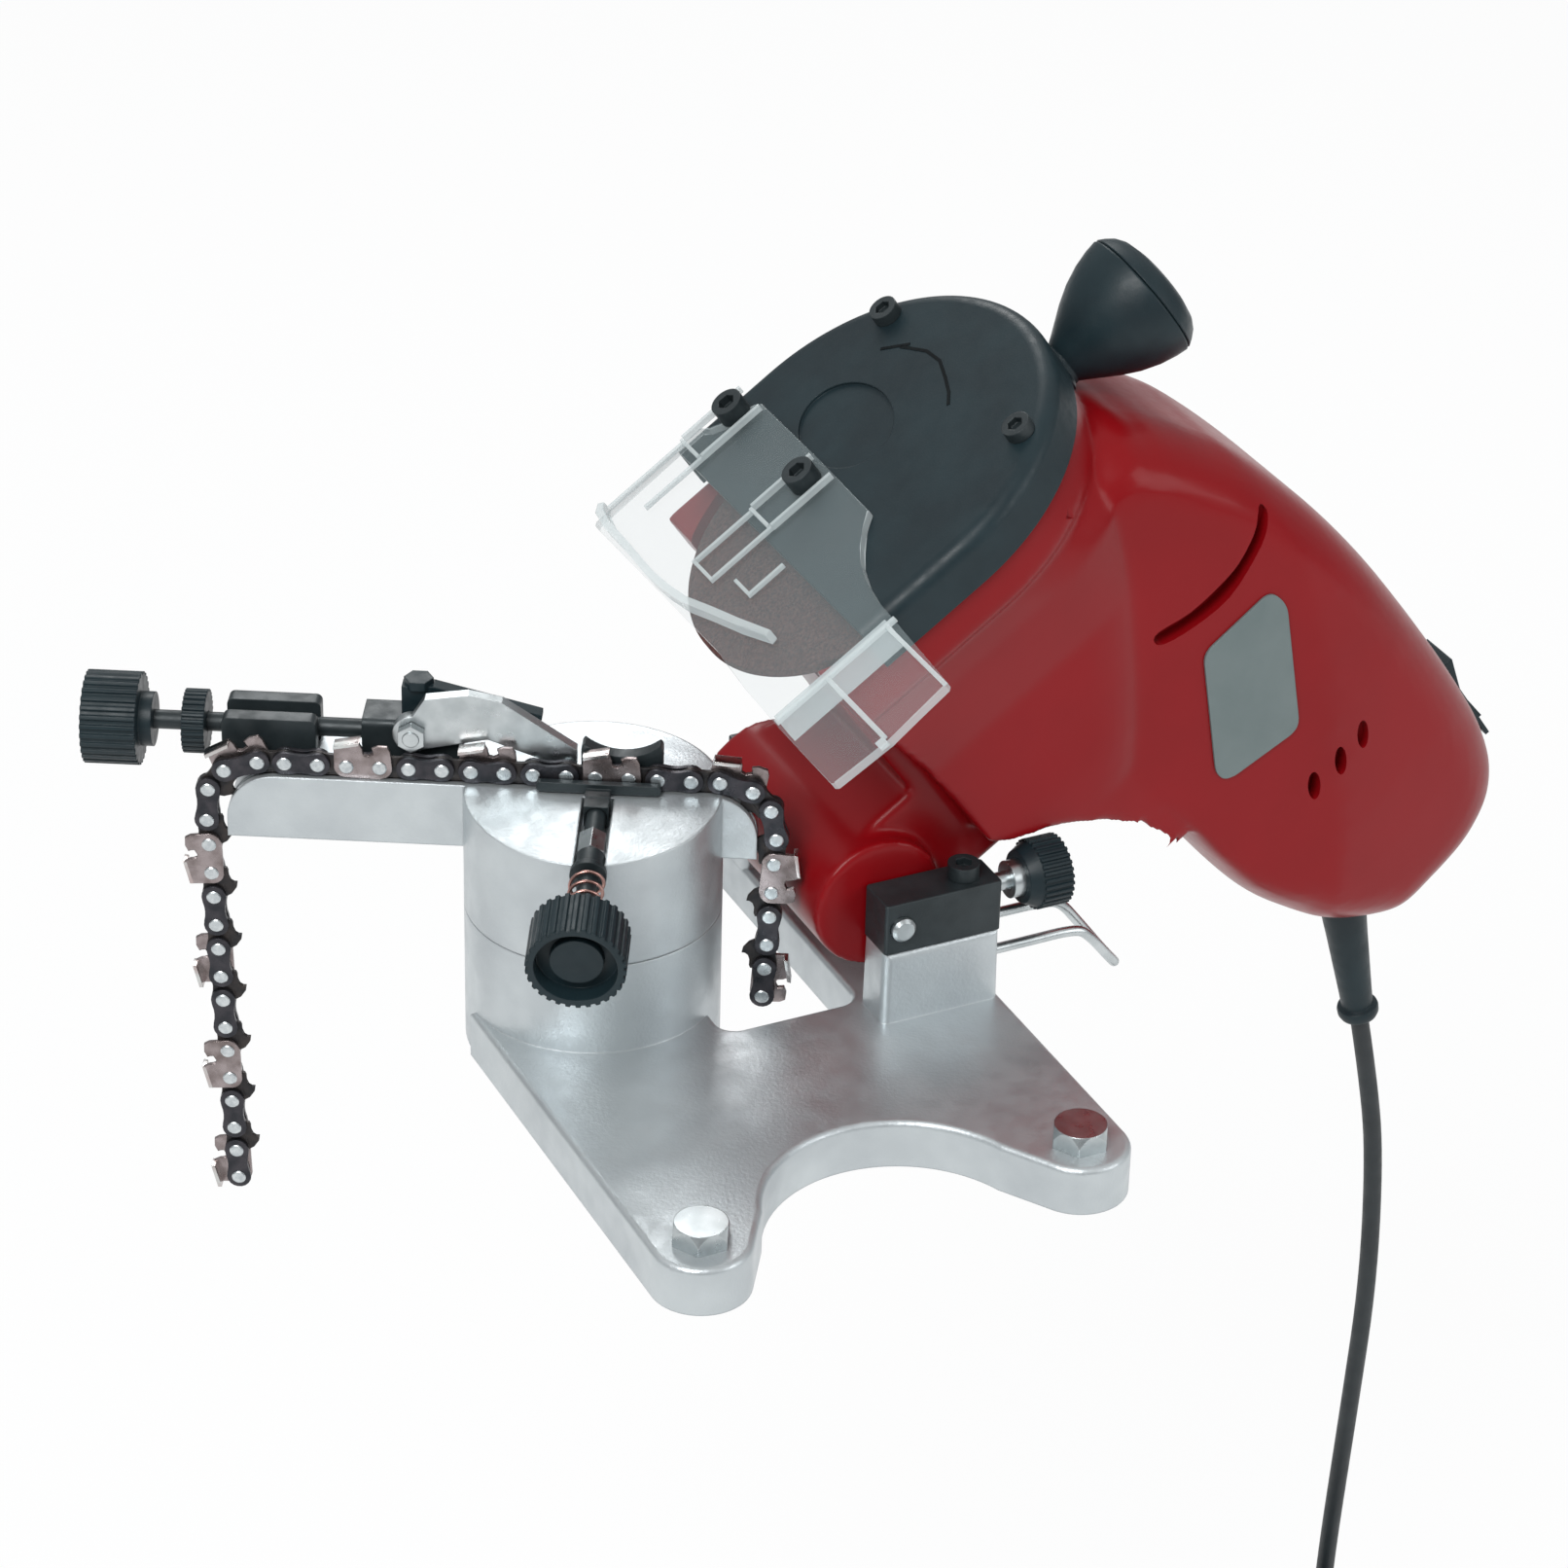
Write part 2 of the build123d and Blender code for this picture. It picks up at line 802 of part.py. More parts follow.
def clamp_knob():
    knob = ribbed_disc(clamp_point(clamp_knob_start), clamp_axis(), clamp_knob_radius, clamp_knob_depth)
    face = clamp_knob_start + clamp_knob_depth
    knob -= clamp_rod(face - clamp_knob_cup, face, clamp_knob_radius - clamp_knob_wall)
    knob += clamp_rod(face - clamp_knob_cup, face - clamp_knob_cup / 2, clamp_knob_boss_radius)
    return knob - clamp_rod(
        clamp_knob_start, clamp_knob_start + clamp_knob_seat + shaft_gap, clamp_screw_radius + shaft_gap
    )


def biarc(first, first_way, last, last_way):
    # Two arcs that meet with a shared tangent between two points of a curve
    span = last - first
    spread = first_way + last_way
    bend = 2 * (1 - first_way.dot(last_way))
    along = span.dot(spread)
    reach = (-along + math.sqrt(along ** 2 + bend * span.dot(span))) / bend
    joint = (first + first_way * reach + last - last_way * reach) / 2
    return [TangentArc(first, joint, tangent=first_way), TangentArc(last, joint, tangent=last_way * -1)]


def helix_point(radius, pitch, turn):
    angle = 2 * math.pi * turn
    place = Vector(radius * math.cos(angle), radius * math.sin(angle), pitch * turn)
    rise = pitch / (2 * math.pi * radius)
    way = Vector(-math.sin(angle), math.cos(angle), rise).normalized()
    return place, way


def helix_wire(radius, pitch, turns, lead_in, lead_out):
    start, start_way = helix_point(radius, pitch, 0)
    end, end_way = helix_point(radius, pitch, turns)
    edges = [Line(start - start_way * lead_in, start)]
    for quarter in range(round(4 * turns)):
        first, first_way = helix_point(radius, pitch, quarter / 4)
        last, last_way = helix_point(radius, pitch, (quarter + 1) / 4)
        edges += biarc(first, first_way, last, last_way)
    edges.append(Line(end, end + end_way * lead_out))
    return Wire(edges)


def coil_tube(radius, pitch, turns, wire_radius, lead_out, label):
    lead_in = 2 * wire_radius
    wire = helix_wire(radius, pitch, turns, lead_in, lead_out)
    way = helix_point(radius, pitch, 0)[1]
    tube = sweep(Plane(wire @ 0, z_dir=way) * Circle(wire_radius), path=wire)
    count = samples_per_turn * turns
    points = [wire @ (place / count) for place in range(count + 1)]
    least = min(
        (first - last).length
        for place, first in enumerate(points)
        for last in points[place + samples_per_turn // 2:]
    )
    print(label, "least gap to itself", round(least - 2 * wire_radius, 2), "length", round(wire.length))
    return tube


def clamp_spring():
    start = sleeve_start + sleeve_length + 2 * running_gap + collar_length + spring_wire
    length = clamp_knob_start - start - running_gap - spring_wire
    tube = coil_tube(
        spring_radius, length / spring_turns, spring_turns, spring_wire / 2, spring_wire, "clamp spring"
    )
    return Plane(clamp_point(start), z_dir=clamp_axis()) * tube


# Rear jaw, and the tooth stop behind it
def rear_jaw():
    front_y = chain_y + chain_half_thickness + running_gap
    jaw = block(
        (rear_jaw_left_x, front_y, rail_top_height),
        (rear_jaw_right_x, front_y + rear_jaw_thickness, rail_top_height + rear_jaw_height),
    )
    middle_x = (rear_jaw_left_x + rear_jaw_right_x) / 2
    jaw = fillet(
        jaw.edges().filter_by(Axis.Y).filter_by(
            lambda edge: edge.center().Z > rail_top_height + running_gap,
        ),
        jaw_thickness,
    )
    half = rear_jaw_recess_width / 2
    top = rail_top_height + rear_jaw_height
    radius = (half ** 2 + rear_jaw_recess_height ** 2) / (2 * rear_jaw_recess_height)
    centre_height = top - rear_jaw_recess_height + radius
    return jaw - rod(
        (middle_x, front_y - overrun, centre_height), (0, 1, 0), rear_jaw_thickness + 2 * overrun, radius
    )


def stop_rod():
    length = stop_knob_left - clamp_knob_seat - stop_rod_end
    return rod(
        (-stop_knob_left + clamp_knob_seat, stop_rod_y, stop_rod_height),
        (1, 0, 0),
        length,
        stop_rod_radius,
    )


def stop_knob():
    start = (-stop_knob_left, stop_rod_y, stop_rod_height)
    knob = ribbed_disc(start, (1, 0, 0), stop_knob_radius, stop_knob_length)
    knob -= rod(start, (1, 0, 0), clamp_knob_cup, stop_knob_radius - clamp_knob_wall)
    knob += rod(start, (1, 0, 0), stop_knob_length + stop_hub_length, stop_hub_radius)
    seat = (-stop_knob_left + clamp_knob_seat, stop_rod_y, stop_rod_height)
    return knob - rod(seat, (1, 0, 0), stop_knob_length + stop_hub_length, stop_rod_radius + shaft_gap)


def lock_nut():
    start = (-lock_nut_left, stop_rod_y, stop_rod_height)
    nut = ribbed_disc(start, (1, 0, 0), lock_nut_radius, lock_nut_length)
    return nut - rod(start, (1, 0, 0), lock_nut_length, stop_rod_radius + running_gap)


def guide_blocks():
    # Two cheeks on the rail with the rod running between them
    guides = []
    for side in (-1, 1):
        inner = stop_rod_y + side * (stop_rod_radius + running_gap)
        outer = inner + side * guide_wall
        low_y, high_y = min(inner, outer), max(inner, outer)
        guide = block(
            (-guide_left, low_y, rail_top_height),
            (-guide_left + guide_length, high_y, rail_top_height + guide_height),
        )
        guides.append(fillet(guide.edges().filter_by(Axis.Y), guide_round))
    return guides


def carriage():
    low_y, high_y = stop_rod_y - carriage_width / 2, stop_rod_y + carriage_width / 2
    left = -carriage_left
    body = block(
        (left, low_y, rail_top_height + running_gap),
        (left + carriage_length, high_y, rail_top_height + carriage_height),
    )
    body = fillet(
        body.edges().filter_by(Axis.X).filter_by(lambda edge: edge.center().Z > stop_rod_height),
        guide_round,
    )
    body -= rod(
        (left - overrun, stop_rod_y, stop_rod_height),
        (1, 0, 0),
        stop_reach + overrun,
        stop_rod_radius + running_gap,
    )
    body -= rod(
        (pawl_pivot_x, low_y - overrun, pawl_pivot_height),
        (0, 1, 0),
        pawl_pin_depth + overrun,
        pawl_bolt_radius + shaft_gap,
    )
    return body


def pawl():
    front_y = stop_rod_y - carriage_width / 2 - running_gap
    arm = prism(
        Plane((pawl_pivot_x, front_y, pawl_pivot_height), x_dir=(1, 0, 0), z_dir=(0, -1, 0)),
        pawl_outline(),
        pawl_thickness,
    )
    arm += rod((pawl_pivot_x, front_y, pawl_pivot_height), (0, -1, 0), pawl_thickness, pawl_boss_radius)
    return arm - rod(
        (pawl_pivot_x, front_y, pawl_pivot_height),
        (0, -1, 0),
        pawl_thickness,
        pawl_bolt_radius + shaft_gap,
    )


def pawl_outline():
    shares = [
        (0, 0.4),
        (0.08, 0.86),
        (0.34, 1.0),
        (0.55, 0.86),
        (1.0, -0.2),
        (1.0, -0.66),
        (0.86, -0.55),
        (0.46, -0.04),
        (0, -0.4),
    ]
    return [(reach_share * pawl_reach, rise_share * pawl_rise) for reach_share, rise_share in shares]


def pawl_bolt():
    pivot = (pawl_pivot_x, stop_rod_y - carriage_width / 2 + pawl_pin_depth, pawl_pivot_height)
    length = pawl_pin_depth + running_gap + pawl_thickness + running_gap + pawl_nut_height + running_gap
    return rod(pivot, (0, -1, 0), length, pawl_bolt_radius)


def pawl_nut():
    start = (
        pawl_pivot_x,
        stop_rod_y - carriage_width / 2 - pawl_thickness - 2 * running_gap,
        pawl_pivot_height,
    )
    nut = hexagon(start, (0, -1, 0), pawl_nut_flats, pawl_nut_height)
    return nut - rod(start, (0, -1, 0), pawl_nut_height, pawl_bolt_radius + shaft_gap)


def lever():
    # Finger lever along the back of the pawl, on the carriage's top
    points = [
        (lever_left_share * lever_reach, height_share * lever_height)
        for lever_left_share, height_share in lever_shares
    ]
    plane = Plane(
        (pawl_pivot_x, stop_rod_y + lever_thickness / 2, rail_top_height + carriage_height),
        x_dir=(1, 0, 0),
        z_dir=(0, -1, 0),
    )
    arm = prism(plane, points, lever_thickness)
    return arm


def lever_screw():
    start = (
        pawl_pivot_x + lever_screw_shift,
        stop_rod_y,
        rail_top_height + carriage_height + lever_height * lever_top_share,
    )
    return hexagon(start, (0, 0, 1), pawl_nut_flats, pawl_nut_height)


# Saw chain held in the vise: straps join rivets within a pair, drive links join the pairs
def run_down(start, way_x, way_z, pairs):
    size = math.hypot(way_x, way_z)
    points, place = [], start
    for step in range(2 * pairs):
        pitch = drive_pitch if step % 2 == 0 else strap_pitch
        place = (place[0] + pitch * way_x / size, place[1] + pitch * way_z / size)
        points.append(place)
    return points


def chain_points():
    top = []
    for pair in range(top_pairs):
        left = first_rivet_x + pair * (strap_pitch + drive_pitch)
        top += [(left, chain_height), (left + strap_pitch, chain_height)]
    top[-1] = (top[-1][0] - seat_gap, top[-1][1] - corner_drop)
    right = [(top[-1][0] + right_corner[0], top[-1][1] - right_corner[1])]
    right.append((right[0][0] + right_hang[0], right[0][1] - right_hang[1]))
    right += run_down(right[-1], *right_way, right_pairs)
    left = [(top[0][0] - left_corner[0], top[0][1] - left_corner[1])]
    left.append((left[0][0] - left_knee[0], left[0][1] - left_knee[1]))
    left.append((left[1][0] - left_hang[0], left[1][1] - left_hang[1]))
    left.append((left[2][0] - left_turn[0], left[2][1] - left_turn[1]))
    left += run_down(left[-1], *left_way, left_pairs)
    return left[::-1], top, right


def link_plane(first, last):
    middle = ((first[0] + last[0]) / 2, chain_y, (first[1] + last[1]) / 2)
    way = (last[0] - first[0], 0, last[1] - first[1])
    return Plane(middle, x_dir=way, z_dir=(0, -1, 0))


def link_outline(span, half_height):
    # A link plate with blunt ends, few sided, pinched at its waist
    reach = span / 2
    right = [(reach + share * half_height, rise * half_height) for share, rise in plate_end_shares]
    waist = [(0, waist_share * half_height)]
    upper = right + waist + [(-x, z) for x, z in right[::-1]]
    return upper + [(x, -z) for x, z in upper[::-1]]


def drive_link(first, last):
    span = math.dist(first, last)
    plate = link_outline(span, strap_half_height)
    tang = [(span / 2, 0), (-span / 2, 0), (-span * tang_share, -tang_depth), (0, -tang_depth)]
    plane = link_plane(first, last).offset(-drive_thickness / 2)
    return prism(plane, plate, drive_thickness) + prism(plane, tang, drive_thickness)


def rivet_heads(plane, span, offset, depth):
    heads = []
    for side in (-1, 1):
        head = RegularPolygon(rivet_radius, rivet_sides)
        heads.append(extrude(plane.offset(offset) * (Pos(side * span / 2, 0) * head), depth))
    return heads


def side_plate(first, last, side, cutter):
    span = math.dist(first, last)
    plane = link_plane(first, last)
    inner = side * (drive_thickness / 2 + strap_clear)
    outline = cutter_outline(span) if cutter else link_outline(span, strap_half_height)
    plate = prism(plane.offset(inner), outline, side * strap_thickness)
    for head in rivet_heads(plane, span, inner + side * strap_thickness, side * rivet_proud):
        plate += head
    if cutter:
        low = cutter_height - cutter_plate
        rear, front = -span / 2 - strap_half_height, -span * cutter_front_share
        edge = inner + side * strap_thickness
        top = [
            (rear, low - cutter_rake),
            (front, low),
            (front, cutter_height),
            (rear, cutter_height - cutter_rake),
        ]
        plate += prism(plane.offset(edge), top, -side * cutter_reach)
    return plate


def cutter_outline(span):
    half, gauge = strap_half_height, span / 2
    rear, edge = -gauge - half, -span * cutter_front_share
    low, high = cutter_height - cutter_plate, cutter_height
    blunt = [(share * half, -rise * half) for share, rise in plate_end_shares]
    upper = [
        (rear, blunt[0][1]),
        (rear, high - cutter_rake),
        (edge, high),
        (edge + cutter_plate, low),
        (span * cutter_gullet_share, half),
        (gauge - half * waist_share, low),
        (gauge + half * waist_share, low),
    ]
    front = [(gauge + x, z) for x, z in blunt]
    back = [(-gauge - x, z) for x, z in blunt[:0:-1]]
    return upper + front + back


def link_pairs(points, first_pair):
    return [
        (first_pair + place // 2, points[place], points[place + 1])
        for place in range(0, len(points) - 1, 2)
    ]


def plates_of(points, first_pair, cutters):
    plates = []
    for pair, first, last in link_pairs(points, first_pair):
        for side in (-1, 1):
            phase = near_cutter_phase if side > 0 else far_cutter_phase
            is_cutter = (pair - phase) % cutter_every == 0
            if is_cutter == cutters:
                plates.append(side_plate(first, last, side, cutters))
    return plates


def chain_runs():
    left, top, right = chain_points()
    left_links = [left[-1], top[0]]
    right_links = [top[-1], right[0]]
    runs = {
        "top_run_drive_links": [
            drive_link(top[place], top[place + 1]) for place in range(1, len(top) - 1, 2)
        ],
        "top_run_straps": plates_of(top, 0, False),
        "top_run_cutters": plates_of(top, 0, True),
        "left_run_drive_links": [
            drive_link(left[place], left[place + 1]) for place in range(1, len(left) - 1, 2)
        ],
        "left_run_plates": plates_of(left, -len(left) // 2, False) + plates_of(
            left, -len(left) // 2, True
        ),
    }
    runs["left_run_drive_links"].append(drive_link(*left_links))
    right_run = [drive_link(*right_links)]
    right_run += [drive_link(right[place], right[place + 1]) for place in range(1, len(right) - 1, 2)]
    right_run += plates_of(right, top_pairs, False) + plates_of(right, top_pairs, True)
    runs["right_run_links"] = right_run
    return runs


# Head housing: two shells that meet on the middle plane, drawn level
def arch_face(x, half, centre, bottom):
    lines = [
        Polyline((-half, centre), (-half, bottom), (half, bottom), (half, centre)),
        ThreePointArc((half, centre), (0, centre + half), (-half, centre)),
    ]
    return Plane((x, 0, 0), x_dir=(0, 1, 0), z_dir=(1, 0, 0)) * make_face(lines)


def side_plane(y):
    return Plane((0, y, 0), x_dir=(1, 0, 0), z_dir=(0, -1, 0))


def bulge_profile(y, share):
    # The side outline of the rear of the head, drawn in toward its middle by a share
    def place(x, z):
        middle_x, middle_z = bulge_middle
        return middle_x + (x - middle_x) * share, middle_z + (z - middle_z) * share

    end_x, top, turn = bulge_rear_x, bulge_top_height, bulge_end_round
    bevel = turn * (1 - math.sqrt(0.5))
    corner = place(end_x, top - turn)
    seat = place(end_x, bulge_heel[1] + bulge_heel_rise)
    nose = place(bulge_front_x, bulge_nose_height)
    foot = place(bulge_front_x, bulge_foot[1])
    shoulder = place(bulge_shoulder_x, top)
    lines = [
        ThreePointArc(nose, place(*bulge_crown), shoulder),
        Line(shoulder, place(end_x - turn, top)),
        ThreePointArc(place(end_x - turn, top), place(end_x - bevel, top - bevel), corner),
        Line(corner, seat),
        ThreePointArc(seat, place(*bulge_heel_middle), place(*bulge_heel)),
        Line(place(*bulge_heel), place(*bulge_throat)),
        ThreePointArc(place(*bulge_throat), place(*bulge_throat_middle), place(*bulge_foot)),
        Line(place(*bulge_foot), foot),
        Line(foot, nose),
    ]
    return side_plane(y) * make_face(lines)


def bulge():
    sections = [bulge_profile(-reach * bulge_half_width, share) for reach, share in bulge_shares]
    sections += [bulge_profile(reach * bulge_half_width, share) for reach, share in bulge_shares[::-1]]
    return loft(sections)


def housing():
    flange = extrude(
        arch_face(front_face_x, front_half_width, cover_centre_height, body_bottom_height),
        front_rear_x - front_face_x,
    )
    front = loft([
        arch_face(front_rear_x, front_half_width, cover_centre_height, body_bottom_height),
        arch_face(waist_x, waist_half_width, crown_height, skirt_height),
    ])
    waist = extrude(
        arch_face(waist_x, waist_half_width, crown_height, skirt_height), body_rear_x - waist_x
    )
    waist -= under_cut()
    keel = block(
        (front_rear_x, -leg_half_width, body_bottom_height),
        (leg_half_thickness, leg_half_width, bulge_foot[1]),
    )
    leg = block(
        (-leg_half_thickness, -leg_half_width, 0), (leg_half_thickness, leg_half_width, bulge_foot[1])
    )
    reach = block_gap_half + column_draft / 2 - barrel_gap
    barrel = rod((0, -reach, 0), (0, 1, 0), 2 * reach, barrel_radius)
    body = flange + front + waist + bulge() + keel + leg + barrel
    body -= rod((0, -reach, 0), (0, 1, 0), 2 * reach, hinge_pin_radius + shaft_gap)
    return body - housing_cavities()


def under_cut():
    points = [
        (bulge_foot[0] - bulge_inner_wall - shaft_gap, skirt_height - overrun),
        (bulge_foot[0] - bulge_inner_wall - shaft_gap, skirt_height),
        bulge_foot,
        (bulge_foot[0] + leg_half_thickness / 2, bulge_foot[1] + leg_half_thickness * under_share),
        (bulge_throat[0], bulge_foot[1] + leg_half_thickness * under_share),
        (bulge_throat[0], skirt_height - overrun),
    ]
    width = 2 * (waist_half_width + overrun)
    return prism(side_plane(width / 2), points, width)


def axle_rod(first, last, radius):
    return rod((first, 0, spindle_height), (1, 0, 0), last - first, radius)


def housing_cavities():
    motor_rear = rear_bearing_x
    cut = axle_rod(front_face_x - overrun, pocket_rear_x, wheel_pocket_radius)
    cut += axle_rod(fan_front_x - running_gap * 3, motor_rear, stator_radius + seat_gap)
    cut += axle_rod(front_bearing_x - seat_gap, fan_front_x, bearing_outer_radius + bearing_bore_gap)
    cut += axle_rod(
        motor_rear, rear_bearing_x + bearing_width + seat_gap, bearing_outer_radius + bearing_bore_gap
    )
    cut += axle_rod(pocket_rear_x - overrun, front_bearing_x, spindle_radius + running_gap)
    wall = bulge_half_width - bulge_inner_wall
    rear = bulge_rear_x - bulge_inner_wall - overrun
    cut += block(
        (bulge_cavity_front, -wall, bulge_cavity_low), (rear, wall, bulge_crown[1] - bulge_inner_wall)
    )
    cut += switch_pocket()
    cut += relief_hole()
    cut += rod(
        (handle_x, 0, handle_stud_foot_height - seat_gap),
        (0, 0, 1),
        handle_foot_height,
        handle_stud_radius + shaft_gap,
    )
    for side in (-1, 1):
        cut += side_vents(side)
        cut += cover_screw_hole(side)
    for x, z in housing_screw_places:
        cut += rod(
            (x, -housing_screw_depth, z),
            (0, 1, 0),
            housing_screw_length(),
            housing_screw_radius + shaft_gap,
        )
    return cut


def housing_screw_length():
    return housing_screw_depth + bulge_half_width + overrun


def cover_screw_hole(side):
    start = (front_face_x - overrun, side * cover_screw_y, cover_screw_height)
    return rod(start, (1, 0, 0), overrun + cover_screw_grip, cover_screw_radius + shaft_gap)


def side_vents(side):
    wall_y = side * (bulge_half_width - bulge_inner_wall - overrun / 2)
    cut = None
    for height in vent_heights:
        hole = rod((vent_x, wall_y, height), (0, side, 0), bulge_inner_wall + overrun, vent_radius)
        cut = hole if cut is None else cut + hole
    centre = ThreePointArc(*slot_points)
    face = make_face([
        centre,
        Line(centre @ 1, centre @ 1 + Vector(-slot_width, 0)),
        ThreePointArc(
            centre @ 1 + Vector(-slot_width, 0),
            centre @ 0.5 + Vector(-slot_width, 0),
            centre @ 0 + Vector(-slot_width, 0),
        ),
        Line(centre @ 0 + Vector(-slot_width, 0), centre @ 0),
    ])
    depth = bulge_inner_wall + overrun
    return cut + extrude(side_plane(wall_y) * face, depth * -side)


def switch_pocket():
    half_x, half_y = switch_length / 2 - switch_wall / 2, switch_width / 2 - switch_wall / 2
    low = (switch_x - half_x, -half_y, bulge_top_height - switch_depth - seat_gap)
    high = (switch_x + half_x, half_y, bulge_top_height + overrun)
    return block(low, high)


def relief_plane(distance):
    start = Vector(*relief_root) + Vector(*relief_way) * distance
    return Plane(start, z_dir=relief_way)


def relief_hole():
    return relief_plane(-2 * relief_seat) * Cylinder(
        relief_top_radius + shaft_gap, 4 * relief_seat, align=base_middle
    )


def housing_halves():
    body = housing()
    size = 3 * bulge_rear_x
    near = body & block((-size, -size, -size), (size, 0, size))
    far = body & block((-size, 0, -size), (size, size, size))
    return near, far


def housing_screws():
    screws = []
    for x, z in housing_screw_places:
        start = (x, -housing_screw_depth + shaft_gap, z)
        shank = rod(
            start, (0, 1, 0), bulge_half_width + housing_screw_depth - shaft_gap, housing_screw_radius
        )
        screws.append(
            shank + rod(
                (x, bulge_half_width, z), (0, 1, 0), housing_screw_head_height, housing_screw_head_radius
            ),
        )
    return screws


# Wheel cover, handle and sliding shield at the front of the head
def wheel_cover():
    front_x = cover_front_x - cover_dome
    cover = extrude(
        arch_face(front_x, cover_radius, cover_centre_height, cover_foot_height), front_face_x - front_x
    )
    rims = [
        edge for edge in cover.faces().sort_by(Axis.X)[0].edges() if (edge @ 0.5).Z > cover_foot_height
    ]
    cover = fillet(rims, cover_round)
    inner = cover_radius - cover_wall
    cover -= extrude(
        arch_face(front_x + cover_wall, inner, cover_centre_height, 0), front_face_x - front_x
    )
    for side in (-1, 1):
        start = (front_x + cover_wall / 2, side * cover_screw_y, cover_screw_height)
        cover += rod(start, (1, 0, 0), front_face_x - start[0], cover_boss_radius)
        cover -= rod(
            (front_x - overrun, side * cover_screw_y, cover_screw_height),
            (1, 0, 0),
            bulge_rear_x,
            cover_screw_radius + shaft_gap,
        )
    for y in shield_screw_places:
        start = (front_x + cover_wall / 2, y, shield_screw_height)
        cover += rod(start, (1, 0, 0), shield_boss_length, cover_boss_radius)
        cover -= rod(
            (front_x - overrun, y, shield_screw_height),
            (1, 0, 0),
            overrun + shield_boss_length,
            shield_screw_radius + shaft_gap,
        )
    oval = Plane((front_x, *recess_middle), x_dir=(0, 1, 0), z_dir=(1, 0, 0)) * Ellipse(
        *recess_half_sizes,
    )
    return cover - extrude(oval, recess_depth)


def cover_screws():
    front_x = cover_front_x - cover_dome
    screws = []
    for side in (-1, 1):
        place = side * cover_screw_y, cover_screw_height
        length = front_face_x + cover_screw_grip - seat_gap - front_x
        screw = rod((front_x, *place), (1, 0, 0), length, cover_screw_radius)
        screw += rod(
            (front_x - cover_screw_head_height, *place),
            (1, 0, 0),
            cover_screw_head_height,
            cover_screw_head_radius,
        )
        socket = cover_screw_head_height * hex_socket_share
        screw -= hexagon(
            (front_x - cover_screw_head_height, *place), (1, 0, 0), cover_screw_head_radius, socket
        )
        screws.append(screw)
    return screws


def handle():
    # Mushroom grip, round about its own upright axis
    seam, top = (handle_seam_radius, handle_seam_height), handle_seam_height
    profile = make_face([
        Polyline((0, handle_foot_height), (handle_neck_radius, handle_foot_height)),
        ThreePointArc((handle_neck_radius, handle_foot_height), handle_flare, seam),
        Polyline(seam, (0, top), (0, handle_foot_height)),
    ])
    grip = revolve(Plane.XZ * profile, Axis.Z)
    grip -= rod(
        (0, 0, handle_foot_height),
        (0, 0, 1),
        handle_stud_top_height - handle_foot_height,
        handle_stud_radius + shaft_gap,
    )
    return Pos(handle_x, 0, 0) * grip


def handle_cap():
    inner = handle_seam_radius - edge_round
    profile = make_face([
        Polyline(
            (0, handle_top_height), (0, handle_seam_height), (handle_seam_radius, handle_seam_height)
        ),
        ThreePointArc(
            (handle_seam_radius, handle_seam_height), handle_cap_shoulder, (inner / 2, handle_top_height)
        ),
        Line((inner / 2, handle_top_height), (0, handle_top_height)),
    ])
    return Pos(handle_x, 0, 0) * revolve(Plane.XZ * profile, Axis.Z)


def handle_stud():
    length = handle_stud_top_height - handle_stud_foot_height - seat_gap
    return rod((handle_x, 0, handle_stud_foot_height), (0, 0, 1), length, handle_stud_radius)


def shield_face_x():
    return cover_front_x - cover_dome - running_gap


def shield():
    back = shield_face_x()
    points = [(y, z) for y, z in shield_corners]
    plane = Plane((back - shield_thickness, 0, 0), x_dir=(0, 1, 0), z_dir=(1, 0, 0))
    plate = prism(plane, points, shield_thickness)
    plate = fillet(plate.edges().filter_by(Axis.X), edge_round / 2)
    low = (back, shield_wall_y - shield_thickness, shield_wall_low)
    plate += block(low, (back + shield_wall_depth, shield_wall_y, shield_wall_high))
    for y in shield_screw_places:
        half = shield_slot_width / 2
        top = shield_screw_height + half
        low_z = shield_screw_height - shield_slide - half
        plate -= block((back - shield_thickness, y - half, low_z), (back, y + half, top))
    return plate


def shield_screws():
    screws = []
    face = shield_face_x() - shield_thickness - running_gap
    for y in shield_screw_places:
        length = cover_front_x - cover_dome + shield_boss_length - seat_gap - face
        screw = rod((face, y, shield_screw_height), (1, 0, 0), length, shield_screw_radius)
        head = rod(
            (face - shield_screw_head_height, y, shield_screw_height),
            (1, 0, 0),
            shield_screw_head_height,
            shield_screw_head_radius,
        )
        socket = shield_screw_head_height * hex_socket_share
        start = (face - shield_screw_head_height, y, shield_screw_height)
        screws.append(screw + head - hexagon(start, (1, 0, 0), shield_screw_head_radius, socket))
    return screws


# Grinding wheel and motor on one shaft
def wheel_rear_x():
    return wheel_face_x + wheel_thickness


def grinding_wheel():
    wheel = axle_rod(wheel_face_x, wheel_rear_x(), wheel_radius)
    return wheel - axle_rod(wheel_face_x, wheel_rear_x(), wheel_bore_radius)


def wheel_flanges():
    front_x = wheel_face_x - flange_thickness
    front = axle_rod(front_x, wheel_face_x, flange_radius)
    rear_end = wheel_rear_x() + flange_thickness - running_gap
    rear = axle_rod(wheel_rear_x(), rear_end, flange_radius)
    rear += axle_rod(wheel_face_x, wheel_rear_x(), wheel_bore_radius - shaft_gap)
    bore = spindle_radius + shaft_gap
    return [front - axle_rod(front_x, wheel_face_x, bore), rear - axle_rod(wheel_face_x, rear_end, bore)]


